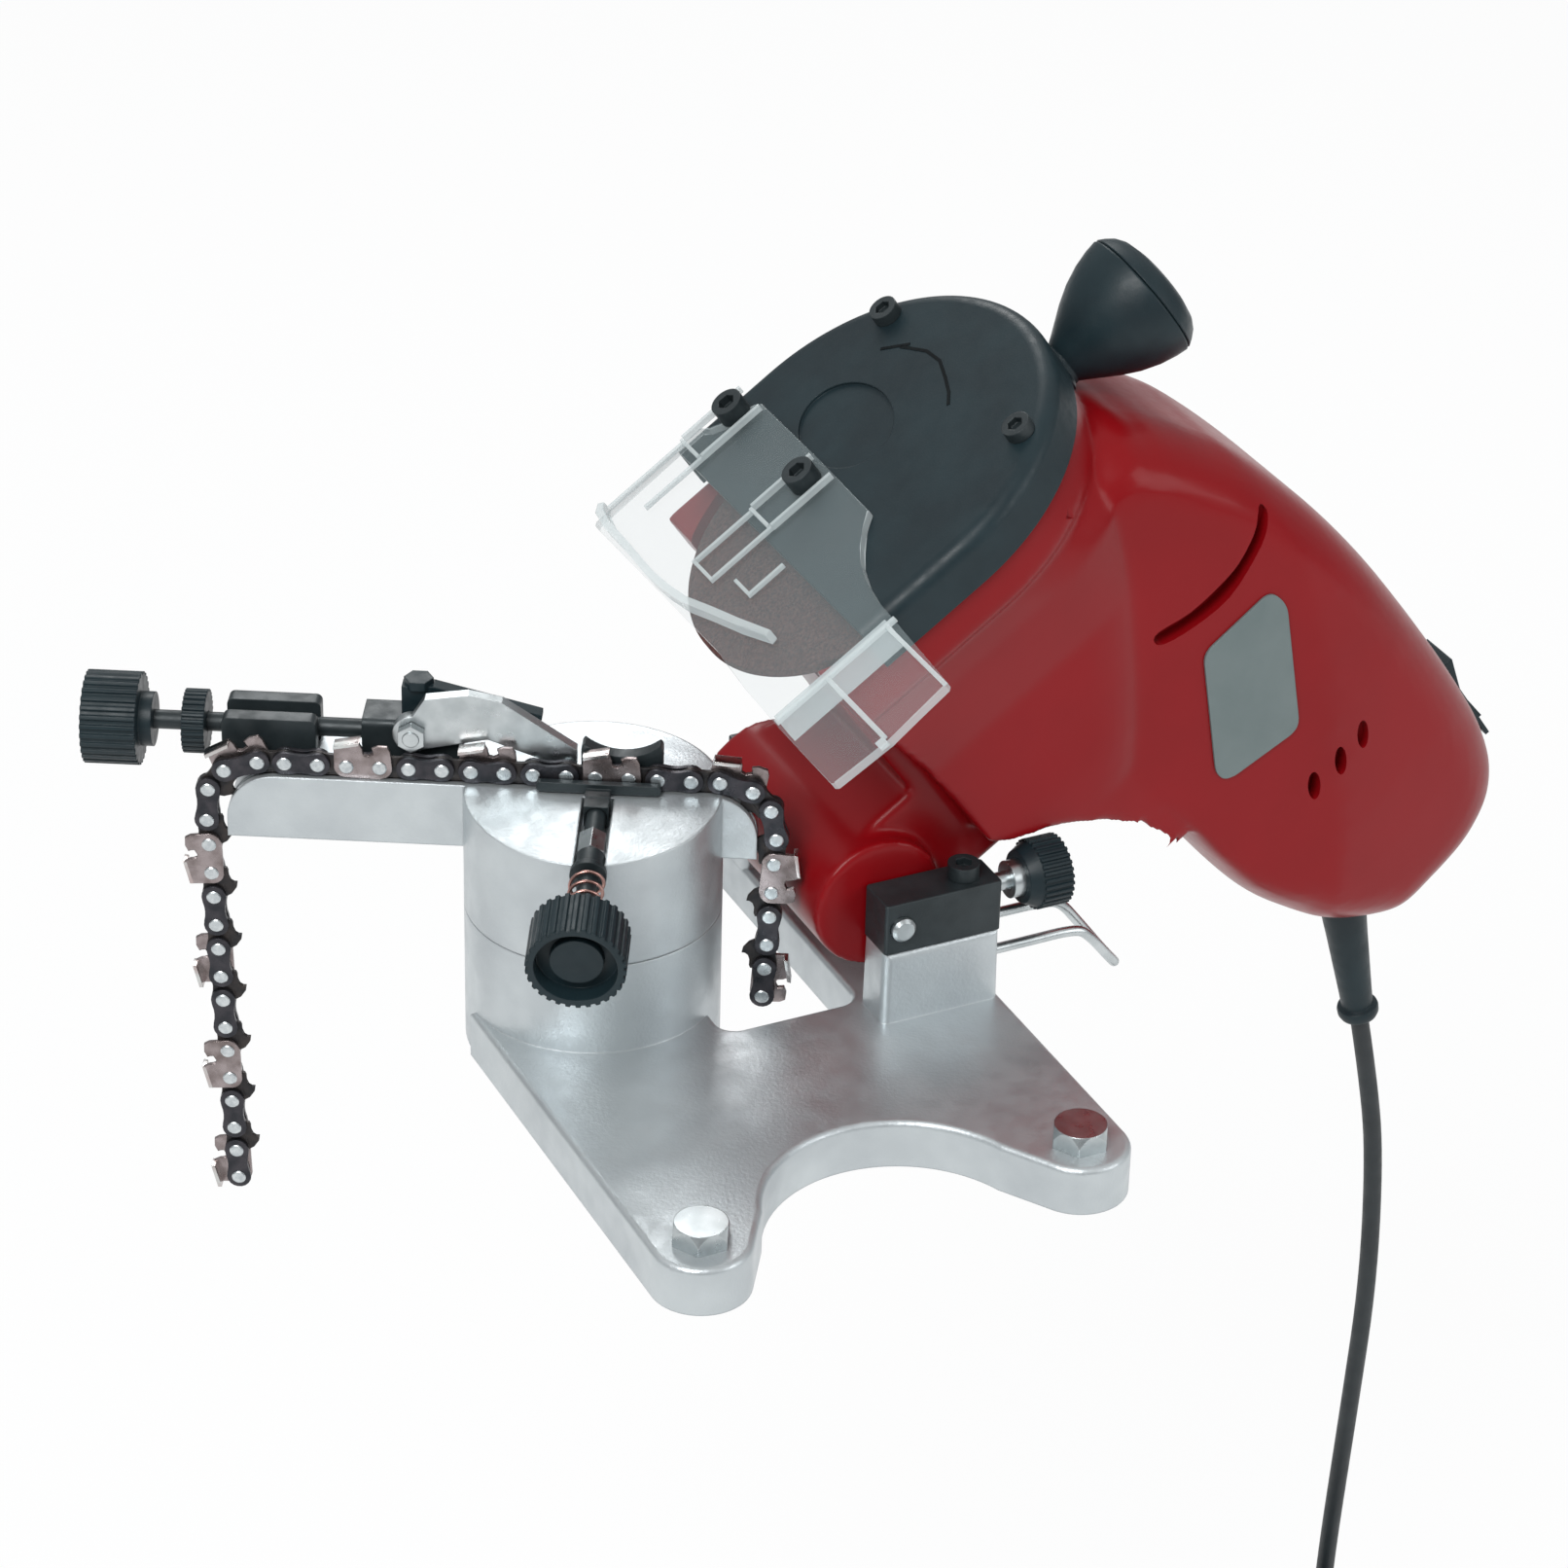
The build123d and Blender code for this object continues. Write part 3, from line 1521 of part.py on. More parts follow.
def wheel_nut():
    end_x = wheel_face_x - flange_thickness
    nut = hexagon(
        (end_x - spindle_nut_height, 0, spindle_height), (1, 0, 0), spindle_nut_flats, spindle_nut_height
    )
    return nut - axle_rod(end_x - spindle_nut_height, end_x, spindle_radius + shaft_gap)


def spindle():
    front_x = wheel_face_x - flange_thickness - spindle_nut_height - spindle_proud
    return axle_rod(front_x, rear_bearing_x + bearing_width, spindle_radius)


def bearings():
    rings = []
    for start in (front_bearing_x, rear_bearing_x):
        ring = axle_rod(start, start + bearing_width, bearing_outer_radius)
        rings.append(ring - axle_rod(start, start + bearing_width, spindle_radius + bearing_bore_gap))
    return rings


def cooling_fan():
    hub = axle_rod(fan_front_x, fan_front_x + fan_width, fan_hub_radius)
    hub += axle_rod(fan_front_x + fan_width - blade_thickness, fan_front_x + fan_width, fan_radius)
    for blade in range(fan_blades):
        low = (fan_front_x, -blade_thickness / 2, fan_hub_radius - seat_gap)
        high = (fan_front_x + fan_width, blade_thickness / 2, fan_radius)
        vane = Rot(360 * blade / fan_blades, 0, 0) * block(low, high)
        hub += Pos(0, 0, spindle_height) * vane
    return hub - axle_rod(fan_front_x, fan_front_x + fan_width, spindle_radius + shaft_gap)


def stator():
    end_x = stator_front_x + stator_length
    return axle_rod(stator_front_x, end_x, stator_radius) - axle_rod(stator_front_x, end_x, stator_bore)


def rotor():
    end_x = stator_front_x + stator_length
    core = axle_rod(stator_front_x, end_x, rotor_radius)
    core += axle_rod(end_x, end_x + commutator_length, commutator_radius)
    return core - axle_rod(stator_front_x, end_x + commutator_length, spindle_radius + shaft_gap)


# Switch on the top, bare plate on the side
def switch_frame():
    half_x, half_y = switch_length / 2, switch_width / 2
    shaft_x, shaft_y = half_x - switch_wall / 2 - seat_gap, half_y - switch_wall / 2 - seat_gap
    low = bulge_top_height - switch_depth
    frame = block((switch_x - shaft_x, -shaft_y, low), (switch_x + shaft_x, shaft_y, bulge_top_height))
    frame += block(
        (switch_x - half_x, -half_y, bulge_top_height),
        (switch_x + half_x, half_y, bulge_top_height + switch_bezel),
    )
    inner_x, inner_y = half_x - switch_wall, half_y - switch_wall
    low_cut = (switch_x - inner_x, -inner_y, low + switch_wall)
    return frame - block(low_cut, (switch_x + inner_x, inner_y, bulge_top_height + overrun))


def rocker_pivot():
    return (switch_x, bulge_top_height + switch_bezel - rocker_pivot_drop)


def switch_rocker():
    pivot_x, pivot_z = rocker_pivot()
    half_y = switch_width / 2 - switch_wall - running_gap
    points = [(pivot_x + x * rocker_half, pivot_z + z * rocker_half) for x, z in rocker_shares]
    return prism(side_plane(half_y), points, 2 * half_y)


def badge_plate():
    return prism(side_plane(-bulge_half_width), badge_corners, badge_thickness)


# Mains lead: strain relief, free stretch, hanging coil with its tie, plug
def strain_relief():
    length = relief_length
    profile = make_face(Polyline(
        (0, -relief_seat),
        (relief_top_radius, -relief_seat),
        (relief_top_radius, relief_ring_length),
        (relief_tip_radius, length - relief_ring_length),
        (relief_ring_radius, length - relief_ring_length),
        (relief_ring_radius, length),
        (0, length),
        close=True,
    ))
    return relief_plane(0) * revolve(Plane.XZ * profile, Axis.Z)


def world_point(place):
    tilt = math.radians(head_rest_angle)
    x, y, z = place
    return Vector(
        hinge_x + x * math.cos(tilt) + z * math.sin(tilt),
        y,
        hinge_height - x * math.sin(tilt) + z * math.cos(tilt),
    )


def cord_route():
    root = Vector(*relief_root)
    tip = world_point(root + Vector(*relief_way) * relief_length)
    way = (tip - world_point(root)).normalized()
    middle, start_way = coil_frame(0)
    hanging = [(299.6, -1.0, -134.0), (301.0, -3.0, -186.0), (299.2, -2.0, -240.0)]
    points = [tip, tip + way * coil_lead]
    points += [Vector(*place) for place in hanging]
    end = middle - start_way * cord_diameter
    return points + [end - start_way * coil_lead, end]


def coil_frame(turn):
    # Loops lie upright, side by side toward the user, and start at their right going down
    place, way = helix_point(coil_radius, coil_pitch, turn)
    start = Vector(*coil_start)
    centre = start - Vector(coil_radius, 0, 0)
    return centre + Vector(place.X, -place.Z, -place.Y), Vector(way.X, -way.Z, -way.Y)


def cord_radii(points):
    radii = []
    for before, corner, after in zip(points, points[1:], points[2:]):
        first, second = corner - before, after - corner
        turn = math.radians(first.get_angle(second))
        radii.append(bend_share * min(first.length, second.length) / math.tan(turn / 2))
    return radii


def cord_tube():
    points = cord_route()
    radii = cord_radii(points)
    print("cord bend radii", [round(radius) for radius in radii])
    path = FilletPolyline(*points, radius=radii)
    way = points[1] - points[0]
    tube = sweep(Plane(points[0], z_dir=way) * Circle(cord_diameter / 2), path=path)
    section = math.pi * (cord_diameter / 2) ** 2
    print(
        "cord tube length",
        round(path.length),
        "volume share",
        round(tube.volume / (section * path.length), 4),
    )
    return tube


def cord_coil():
    tube = coil_tube(coil_radius, coil_pitch, coil_turns, cord_diameter / 2, plug_lead, "cord coil")
    start = Vector(*coil_start) - Vector(coil_radius, 0, 0)
    plane = Plane(tuple(start), x_dir=(1, 0, 0), z_dir=(0, 1, 0))
    return mirror(plane * tube, about=Plane(tuple(start), z_dir=(0, 1, 0)))


def cord_tie():
    middle = Vector(*coil_start) + Vector(-coil_radius, 0, coil_radius)
    reach = cord_diameter / 2 + tie_gap
    near, far = middle.Y - coil_pitch * coil_turns - reach, middle.Y + reach
    half = tie_width / 2
    outer = block(
        (middle.X - half, near - tie_thickness, middle.Z - reach - tie_thickness),
        (middle.X + half, far + tie_thickness, middle.Z + reach + tie_thickness),
    )
    return outer - block(
        (middle.X - half, near, middle.Z - reach), (middle.X + half, far, middle.Z + reach)
    )


def plug():
    place, way = coil_frame(coil_turns)
    place += way * plug_lead
    across = Vector(0, 1, 0)
    plane = Plane(tuple(place), x_dir=tuple(across), z_dir=tuple(way))
    neck = plane * Cone(
        plug_neck_radius * plug_neck_share, plug_neck_radius, plug_neck_length, align=base_middle
    )
    thick, wide, long = plug_body
    body = Box(thick, wide, long, align=base_middle)
    body = fillet(body.edges().filter_by(Axis.Z), thick / 4)
    piece = neck + plane * (Pos(0, 0, plug_neck_length) * body)
    for side in (-1, 1):
        pin = Pos(0, side * pin_spacing / 2, plug_neck_length + long) * Cylinder(
            pin_radius, pin_length, align=base_middle
        )
        piece += plane * pin
    return piece


# The nodes, each written to its own file
near_shell, far_shell = housing_halves()
base_nodes = {
    "base_casting": [base_casting()],
    "hinge_blocks": [hinge_block(-1), hinge_block(1)],
    "block_screws": block_screws(),
    "hinge_pin": [hinge_pin()],
    "bench_bolts": bench_bolts(),
    "depth_screw": [depth_screw() + depth_ring()],
    "depth_knob": [depth_knob()],
    "bent_rod": [bent_rod()],
}
vise_nodes = {
    "swivel_stud": [swivel_stud()],
    "swivel_washer": [swivel_washer()],
    "swivel_nut": [swivel_nut()],
    "vise_casting": [vise_casting()],
    "front_jaw": [front_jaw()],
    "clamp_screw": [clamp_screw()],
    "clamp_sleeve": [clamp_sleeve()],
    "clamp_collar": [clamp_collar()],
    "clamp_spring": [clamp_spring()],
    "clamp_knob": [clamp_knob()],
    "rear_jaw": [rear_jaw()],
    "stop_rod": [stop_rod()],
    "stop_knob": [stop_knob()],
    "lock_nut": [lock_nut()],
    "guide_blocks": guide_blocks(),
    "carriage": [carriage()],
    "pawl": [pawl()],
    "pawl_bolt": [pawl_bolt()],
    "pawl_nut": [pawl_nut()],
    "stop_lever": [lever() + lever_screw()],
    **chain_runs(),
}
head_nodes = {
    "housing_near": [near_shell],
    "housing_far": [far_shell],
    "housing_screws": housing_screws(),
    "wheel_cover": [wheel_cover()],
    "cover_screws": cover_screws(),
    "handle": [handle()],
    "handle_cap": [handle_cap()],
    "handle_stud": [handle_stud()],
    "shield": [shield()],
    "shield_screws": shield_screws(),
    "grinding_wheel": [grinding_wheel()],
    "wheel_flanges": wheel_flanges(),
    "wheel_nut": [wheel_nut()],
    "spindle": [spindle()],
    "bearings": bearings(),
    "cooling_fan": [cooling_fan()],
    "stator": [stator()],
    "rotor": [rotor()],
    "switch_frame": [switch_frame()],
    "switch_rocker": [switch_rocker()],
    "badge_plate": [badge_plate()],
    "strain_relief": [strain_relief()],
}
lead_nodes = {
    "cord_tube": [cord_tube()],
    "cord_coil": [cord_coil()],
    "cord_tie": [cord_tie()],
    "plug": [plug()],
}
for nodes, place in (
    (base_nodes, Location()), (vise_nodes, vise_place), (head_nodes, head_place), (lead_nodes, Location())
):
    for node, solids in nodes.items():
        save(node, [place * solid for solid in solids])
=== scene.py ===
import json
import math

import bmesh
import bpy
from mathutils import Matrix, Vector


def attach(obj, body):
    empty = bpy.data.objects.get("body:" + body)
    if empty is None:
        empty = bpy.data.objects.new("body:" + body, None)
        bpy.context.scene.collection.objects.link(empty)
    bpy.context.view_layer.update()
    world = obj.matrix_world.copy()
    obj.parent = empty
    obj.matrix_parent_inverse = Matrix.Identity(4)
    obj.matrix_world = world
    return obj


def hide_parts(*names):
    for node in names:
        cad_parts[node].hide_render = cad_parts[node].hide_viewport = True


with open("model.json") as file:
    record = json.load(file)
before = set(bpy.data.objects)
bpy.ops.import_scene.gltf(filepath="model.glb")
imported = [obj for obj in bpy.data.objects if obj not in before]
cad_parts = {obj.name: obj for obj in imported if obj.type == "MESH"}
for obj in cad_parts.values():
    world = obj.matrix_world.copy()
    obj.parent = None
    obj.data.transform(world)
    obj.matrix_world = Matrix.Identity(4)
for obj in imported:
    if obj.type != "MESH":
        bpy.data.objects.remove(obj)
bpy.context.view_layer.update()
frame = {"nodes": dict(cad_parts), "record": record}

cadNodes = frame["nodes"]
mm = 0.001
quarter = math.radians(90)
print("frame loaded,", len(cadNodes), "nodes")


def addObject(name, data):
    obj = bpy.data.objects.new(name, data)
    bpy.context.scene.collection.objects.link(obj)
    return obj


# Camera at the photograph's angle: heading in degrees, pitch and roll in radians

cameraSet = {
    "place": (-0.5134, -1.1751, 0.8422), "heading": 26.2, "pitch": 0.531, "roll": 0.026,
    "lens": 111.66, "sensor": 36, "farClip": 20,
}


def addCamera():
    heading, pitch, roll = math.radians(cameraSet["heading"]), cameraSet["pitch"], cameraSet["roll"]
    level = Vector((math.cos(heading), -math.sin(heading), 0))
    forward = Vector((math.sin(heading), math.cos(heading), 0))
    ahead = forward * math.cos(pitch) - Vector((0, 0, math.sin(pitch)))
    above = level.cross(ahead)
    right = level * math.cos(roll) + above * math.sin(roll)
    up = above * math.cos(roll) - level * math.sin(roll)
    cam = bpy.data.cameras.new("camera")
    cam.lens = cameraSet["lens"]
    cam.sensor_width = cameraSet["sensor"]
    cam.clip_end = cameraSet["farClip"]
    obj = addObject("camera", cam)
    turn = Matrix((right, up, -ahead)).transposed().to_4x4()
    obj.matrix_world = Matrix.Translation(cameraSet["place"]) @ turn
    bpy.context.scene.camera = obj


# Studio: pale floor, soft lamps, bright sky

studio = {
    "floorHeight": -0.470,
    "floorSize": 9.0,
    "floorColour": (0.86, 0.87, 0.88, 1),
    "whiteGlow": 1.0,
    "whiteShare": 0.9,
    "skyLow": (0.42, 0.44, 0.46, 1),
    "skyHigh": (1.0, 1.0, 1.0, 1),
    "skyFade": (0.0, 0.75),
    "skyStrength": 0.62,
    "key": {"place": (-1.3, -1.2, 1.9), "aim": (0.05, 0, 0.08), "size": 1.1, "power": 40},
    "fill": {"place": (1.5, -1.5, 0.9), "aim": (0.15, 0, 0.05), "size": 1.2, "power": 11},
    "rim": {"place": (0.6, 1.8, 1.6), "aim": (0.1, 0, 0.1), "size": 0.9, "power": 15},
}


def addFloor():
    half = studio["floorSize"] / 2
    mesh = bpy.data.meshes.new("studio_floor")
    corners = [(-half, -half), (half, -half), (half, half), (-half, half)]
    mesh.from_pydata([(x, y, studio["floorHeight"]) for x, y in corners], [], [(0, 1, 2, 3)])
    floor = addObject("studio_floor", mesh)
    mat = bpy.data.materials.new("studio_floor")
    mat.use_nodes = True
    tree = mat.node_tree
    tree.nodes.clear()
    matt = tree.nodes.new("ShaderNodeBsdfDiffuse")
    matt.inputs["Color"].default_value = studio["floorColour"]
    glow = tree.nodes.new("ShaderNodeEmission")
    glow.inputs["Strength"].default_value = studio["whiteGlow"]
    seen = seenByEye(tree)
    share = tree.nodes.new("ShaderNodeMath")
    share.operation = "MULTIPLY"
    share.inputs[1].default_value = studio["whiteShare"]
    mix = tree.nodes.new("ShaderNodeMixShader")
    out = tree.nodes.new("ShaderNodeOutputMaterial")
    tree.links.new(seen, share.inputs[0])
    tree.links.new(share.outputs[0], mix.inputs[0])
    tree.links.new(matt.outputs[0], mix.inputs[1])
    tree.links.new(glow.outputs[0], mix.inputs[2])
    tree.links.new(mix.outputs[0], out.inputs["Surface"])
    mesh.materials.append(mat)


def seenByEye(tree):
    # 1 where a camera, glossy or transmitted ray meets the surface
    path = tree.nodes.new("ShaderNodeLightPath")
    total = path.outputs["Is Camera Ray"]
    for ray in ("Is Glossy Ray", "Is Transmission Ray"):
        add = tree.nodes.new("ShaderNodeMath")
        add.operation = "MAXIMUM"
        tree.links.new(total, add.inputs[0])
        tree.links.new(path.outputs[ray], add.inputs[1])
        total = add.outputs[0]
    return total


def addSky():
    world = bpy.data.worlds.new("studio_sky")
    bpy.context.scene.world = world
    world.use_nodes = True
    tree = world.node_tree
    tree.nodes.clear()
    coord = tree.nodes.new("ShaderNodeTexCoord")
    split = tree.nodes.new("ShaderNodeSeparateXYZ")
    fade = tree.nodes.new("ShaderNodeValToRGB")
    looks = zip(fade.color_ramp.elements, studio["skyFade"], (studio["skyLow"], studio["skyHigh"]))
    for element, place, colour in looks:
        element.position = place
        element.color = colour
    back = tree.nodes.new("ShaderNodeBackground")
    back.inputs["Strength"].default_value = studio["skyStrength"]
    out = tree.nodes.new("ShaderNodeOutputWorld")
    tree.links.new(coord.outputs["Generated"], split.inputs[0])
    tree.links.new(split.outputs["Z"], fade.inputs["Fac"])
    tree.links.new(fade.outputs["Color"], back.inputs["Color"])
    tree.links.new(back.outputs[0], out.inputs["Surface"])


def addLamp(name):
    lamp = studio[name]
    data = bpy.data.lights.new(name + "_lamp", "AREA")
    data.size = lamp["size"]
    data.energy = lamp["power"]
    obj = addObject(name + "_lamp", data)
    obj.location = lamp["place"]
    way = Vector(lamp["aim"]) - Vector(lamp["place"])
    obj.rotation_euler = way.to_track_quat("-Z", "Y").to_euler()


bpy.context.scene.view_settings.view_transform = "Standard"
addCamera()
addFloor()
addSky()
for lampName in ("key", "fill", "rim"):
    addLamp(lampName)
print("camera and studio set")


# Finishes: one dictionary each, sizes of grain in metres, and what all of them share

finishSet = {
    "coatRough": 0.18, "glossGrains": 6, "bumpDetail": 2.0, "edgeSamples": 6, "fade": (0.35, 0.65),
}
finishes = {
    "cast_aluminium": {
        "colour": (0.60, 0.645, 0.66), "shade": (0.50, 0.54, 0.56), "patch": 0.035, "metal": 0.75,
        "rough": (0.34, 0.46), "grain": 0.0011, "bump": 0.10, "round": 0.0009,
    },
    "black_steel": {
        "colour": (0.018, 0.026, 0.029), "shade": (0.028, 0.038, 0.042), "patch": 0.012, "metal": 0.25,
        "rough": (0.34, 0.50), "grain": 0.0009, "bump": 0.05, "round": 0.0005,
    },
    "zinc_steel": {
        "colour": (0.60, 0.64, 0.65), "shade": (0.47, 0.51, 0.52), "patch": 0.008, "metal": 1.0,
        "rough": (0.27, 0.35), "grain": 0.0006, "bump": 0.010, "round": 0.0004,
    },
    "spring_steel": {
        "colour": (0.55, 0.33, 0.29), "shade": (0.42, 0.24, 0.21), "patch": 0.006, "metal": 1.0,
        "rough": (0.24, 0.36), "grain": 0.0008, "bump": 0.03, "round": 0.0,
    },
    "black_plastic": {
        "colour": (0.009, 0.019, 0.024), "shade": (0.012, 0.026, 0.032), "patch": 0.02, "metal": 0.0,
        "rough": (0.36, 0.48), "grain": 0.0006, "bump": 0.05, "round": 0.0006, "shine": 0.30,
    },
    "red_plastic": {
        "colour": (0.245, 0.0035, 0.0065), "shade": (0.215, 0.003, 0.0055), "patch": 0.05, "metal": 0.0,
        "rough": (0.27, 0.34), "grain": 0.0007, "bump": 0.025, "round": 0.0012, "coat": 0.06, "shine": 0.20,
    },
    "housing_red": {
        "colour": (0.245, 0.0030, 0.0060), "shade": (0.222, 0.0026, 0.0050), "patch": 0.05, "metal": 0.0,
        "rough": (0.29, 0.33), "grain": 0.0005, "bump": 0.010, "round": 0.0, "coat": 0.05, "shine": 0.20,
    },
    "grey_plate": {
        "colour": (0.165, 0.205, 0.205), "shade": (0.15, 0.19, 0.19), "patch": 0.02, "metal": 0.35,
        "rough": (0.40, 0.5), "grain": 0.0009, "bump": 0.03, "round": 0.0004,
    },
    "abrasive": {
        "colour": (0.14, 0.058, 0.05), "shade": (0.06, 0.024, 0.022), "patch": 0.0009, "metal": 0.0,
        "rough": (0.80, 0.95), "grain": 0.0007, "bump": 0.55, "round": 0.0,
    },
    "chain_steel": {
        "colour": (0.028, 0.030, 0.036), "shade": (0.055, 0.052, 0.060), "patch": 0.004, "metal": 0.65,
        "rough": (0.26, 0.42), "grain": 0.0006, "bump": 0.05, "round": 0.0003,
    },
    "cutter_steel": {
        "colour": (0.20, 0.165, 0.16), "shade": (0.36, 0.31, 0.31), "patch": 0.005, "metal": 0.9,
        "rough": (0.20, 0.34), "grain": 0.0006, "bump": 0.04, "round": 0.0003,
    },
    "motor_steel": {
        "colour": (0.20, 0.20, 0.21), "shade": (0.14, 0.14, 0.15), "patch": 0.004, "metal": 0.9,
        "rough": (0.35, 0.5), "grain": 0.0008, "bump": 0.06, "round": 0.0,
    },
    "cord_rubber": {
        "colour": (0.013, 0.018, 0.021), "shade": (0.018, 0.025, 0.028), "patch": 0.02, "metal": 0.0,
        "rough": (0.42, 0.54), "grain": 0.0008, "bump": 0.03, "round": 0.0,
    },
    "arrow_black": {
        "colour": (0.003, 0.005, 0.006), "shade": (0.005, 0.008, 0.009), "patch": 0.02, "metal": 0.0,
        "rough": (0.5, 0.6), "grain": 0.0006, "bump": 0.03, "round": 0.0, "shine": 0.1,
    },
    "drive_steel": {
        "colour": (0.020, 0.021, 0.024), "shade": (0.045, 0.038, 0.036), "patch": 0.004, "metal": 0.6,
        "rough": (0.32, 0.46), "grain": 0.0006, "bump": 0.06, "round": 0.0003,
    },
    "crown_chrome": {
        "colour": (0.62, 0.64, 0.63), "shade": (0.50, 0.42, 0.41), "patch": 0.006, "metal": 1.0,
        "rough": (0.16, 0.28), "grain": 0.0006, "bump": 0.03, "round": 0.0003,
    },
    "rivet_steel": {
        "colour": (0.66, 0.70, 0.71), "shade": (0.50, 0.54, 0.56), "patch": 0.0016, "metal": 1.0,
        "rough": (0.22, 0.38), "grain": 0.0005, "bump": 0.06, "round": 0.0,
    },
}
clearLooks = {
    "clear_plastic": {"tint": (0.50, 0.60, 0.62, 1), "rough": (0.05, 0.15), "scuff": 0.02, "solid": 0.11},
    # The edge look is a painted highlight: a whiter, more solid clear that stands in for light caught in the
    # shield's edges and ribs
    "clear_painted_highlight": {"tint": (0.70, 0.77, 0.78, 1), "rough": (0.10, 0.20), "scuff": 0.004, "solid": 0.50},
}


def noise(tree, size, detail=3.0):
    # Object coordinates are metres in the row frame, so the grain has its real size
    coord = tree.nodes.new("ShaderNodeTexCoord")
    node = tree.nodes.new("ShaderNodeTexNoise")
    node.inputs["Scale"].default_value = 1 / size
    node.inputs["Detail"].default_value = detail
    tree.links.new(coord.outputs["Object"], node.inputs["Vector"])
    return node.outputs["Fac"]


def ramp(tree, source, low, high):
    node = tree.nodes.new("ShaderNodeValToRGB")
    for element, place, colour in zip(node.color_ramp.elements, finishSet["fade"], (low, high)):
        element.position = place
        element.color = (*colour, 1)
    tree.links.new(source, node.inputs["Fac"])
    return node.outputs["Color"]


def newPaint(name):
    mat = bpy.data.materials.new(name)
    mat.use_nodes = True
    return mat, mat.node_tree, mat.node_tree.nodes["Principled BSDF"]


def addGloss(tree, skin, size, rough):
    low, high = rough
    gloss = ramp(tree, noise(tree, size), (low,) * 3, (high,) * 3)
    tree.links.new(gloss, skin.inputs["Roughness"])


def makeFinish(name, look):
    mat, tree, skin = newPaint(name)
    skin.inputs["Metallic"].default_value = look["metal"]
    if "coat" in look:
        skin.inputs["Coat Weight"].default_value = look["coat"]
        skin.inputs["Coat Roughness"].default_value = finishSet["coatRough"]
    if "shine" in look:
        skin.inputs["Specular IOR Level"].default_value = look["shine"]
    colour = ramp(tree, noise(tree, look["patch"]), look["colour"], look["shade"])
    tree.links.new(colour, skin.inputs["Base Color"])
    addGloss(tree, skin, look["grain"] * finishSet["glossGrains"], look["rough"])
    bump = tree.nodes.new("ShaderNodeBump")
    bump.inputs["Strength"].default_value = look["bump"]
    bump.inputs["Distance"].default_value = look["grain"]
    tree.links.new(noise(tree, look["grain"], finishSet["bumpDetail"]), bump.inputs["Height"])
    if look["round"]:
        edge = tree.nodes.new("ShaderNodeBevel")
        edge.samples = finishSet["edgeSamples"]
        edge.inputs["Radius"].default_value = look["round"]
        tree.links.new(edge.outputs["Normal"], bump.inputs["Normal"])
    tree.links.new(bump.outputs["Normal"], skin.inputs["Normal"])
    return mat


def makeClear(name, look):
    # Clear moulded plastic: mostly see-through, faintly scuffed; the edge look is whiter and more solid, a
    # painted highlight for the light caught in its edges
    mat, tree, skin = newPaint(name)
    skin.inputs["Base Color"].default_value = look["tint"]
    skin.inputs["Alpha"].default_value = look["solid"]
    addGloss(tree, skin, look["scuff"], look["rough"])
    return mat


paints = {name: makeFinish(name, look) for name, look in finishes.items()}
paints.update({name: makeClear(name, look) for name, look in clearLooks.items()})
for part in frame["record"]["subparts"]:
    obj = cadNodes[part["node"]]
    obj.data.materials.clear()
    obj.data.materials.append(paints[part["material_slot"]])
print("finishes made")


# Mesh helpers: the places take the vise's and the head's own millimetres to the row frame

tilts = {"vise": -28.4, "head": 55, "hinge": (0.078, 0, 0.050)}
headPlace = Matrix.Translation(tilts["hinge"]) @ Matrix.Rotation(math.radians(tilts["head"]), 4, "Y")
viseMm = Matrix.Rotation(math.radians(tilts["vise"]), 4, "Z") @ Matrix.Scale(mm, 4)
headMm = headPlace @ Matrix.Scale(mm, 4)
sharpAngle = 32


def meshOf(name, bm):
    bmesh.ops.recalc_face_normals(bm, faces=bm.faces)
    mesh = bpy.data.meshes.new(name)
    bm.to_mesh(mesh)
    bm.free()
    return addObject(name, mesh)


def paintSkin(mesh, paint):
    mesh.materials.clear()
    mesh.materials.append(paints[paint])
    mesh.shade_smooth()


def finishMesh(name, bm, paint, smooth=True):
    obj = meshOf(name, bm)
    obj.data.materials.append(paints[paint])
    if smooth:
        obj.data.shade_smooth()
        obj.data.set_sharp_from_angle(angle=math.radians(sharpAngle))
    return obj


def baked(obj):
    # The object's mesh with its modifiers applied
    result = bpy.data.meshes.new_from_object(obj.evaluated_get(bpy.context.evaluated_depsgraph_get()))
    bpy.data.objects.remove(obj)
    return result


def addSlab(bm, place, outline, low, high, edge=0.0):
    # A flat plate of the given outline between two depths, its rims rounded by edge
    made = bmesh.new()
    lower = [made.verts.new((x, y, low)) for x, y in outline]
    upper = [made.verts.new((x, y, high)) for x, y in outline]
    made.faces.new(lower[::-1])
    made.faces.new(upper)
    joinRings(made, [lower, upper])
    if edge:
        rims = [rim for rim in made.edges if rim.verts[0].co.z == rim.verts[1].co.z]
        bmesh.ops.bevel(made, geom=rims, offset=edge, segments=2, affect="EDGES", profile=0.6)
    made.transform(place)
    shell = bpy.data.meshes.new("slab")
    made.to_mesh(shell)
    made.free()
    bm.from_mesh(shell)
    bpy.data.meshes.remove(shell)


def joinRings(bm, rings):
    for lower, upper in zip(rings, rings[1:]):
        for step in range(len(lower)):
            after = (step + 1) % len(lower)
            bm.faces.new((lower[step], lower[after], upper[after], upper[step]))


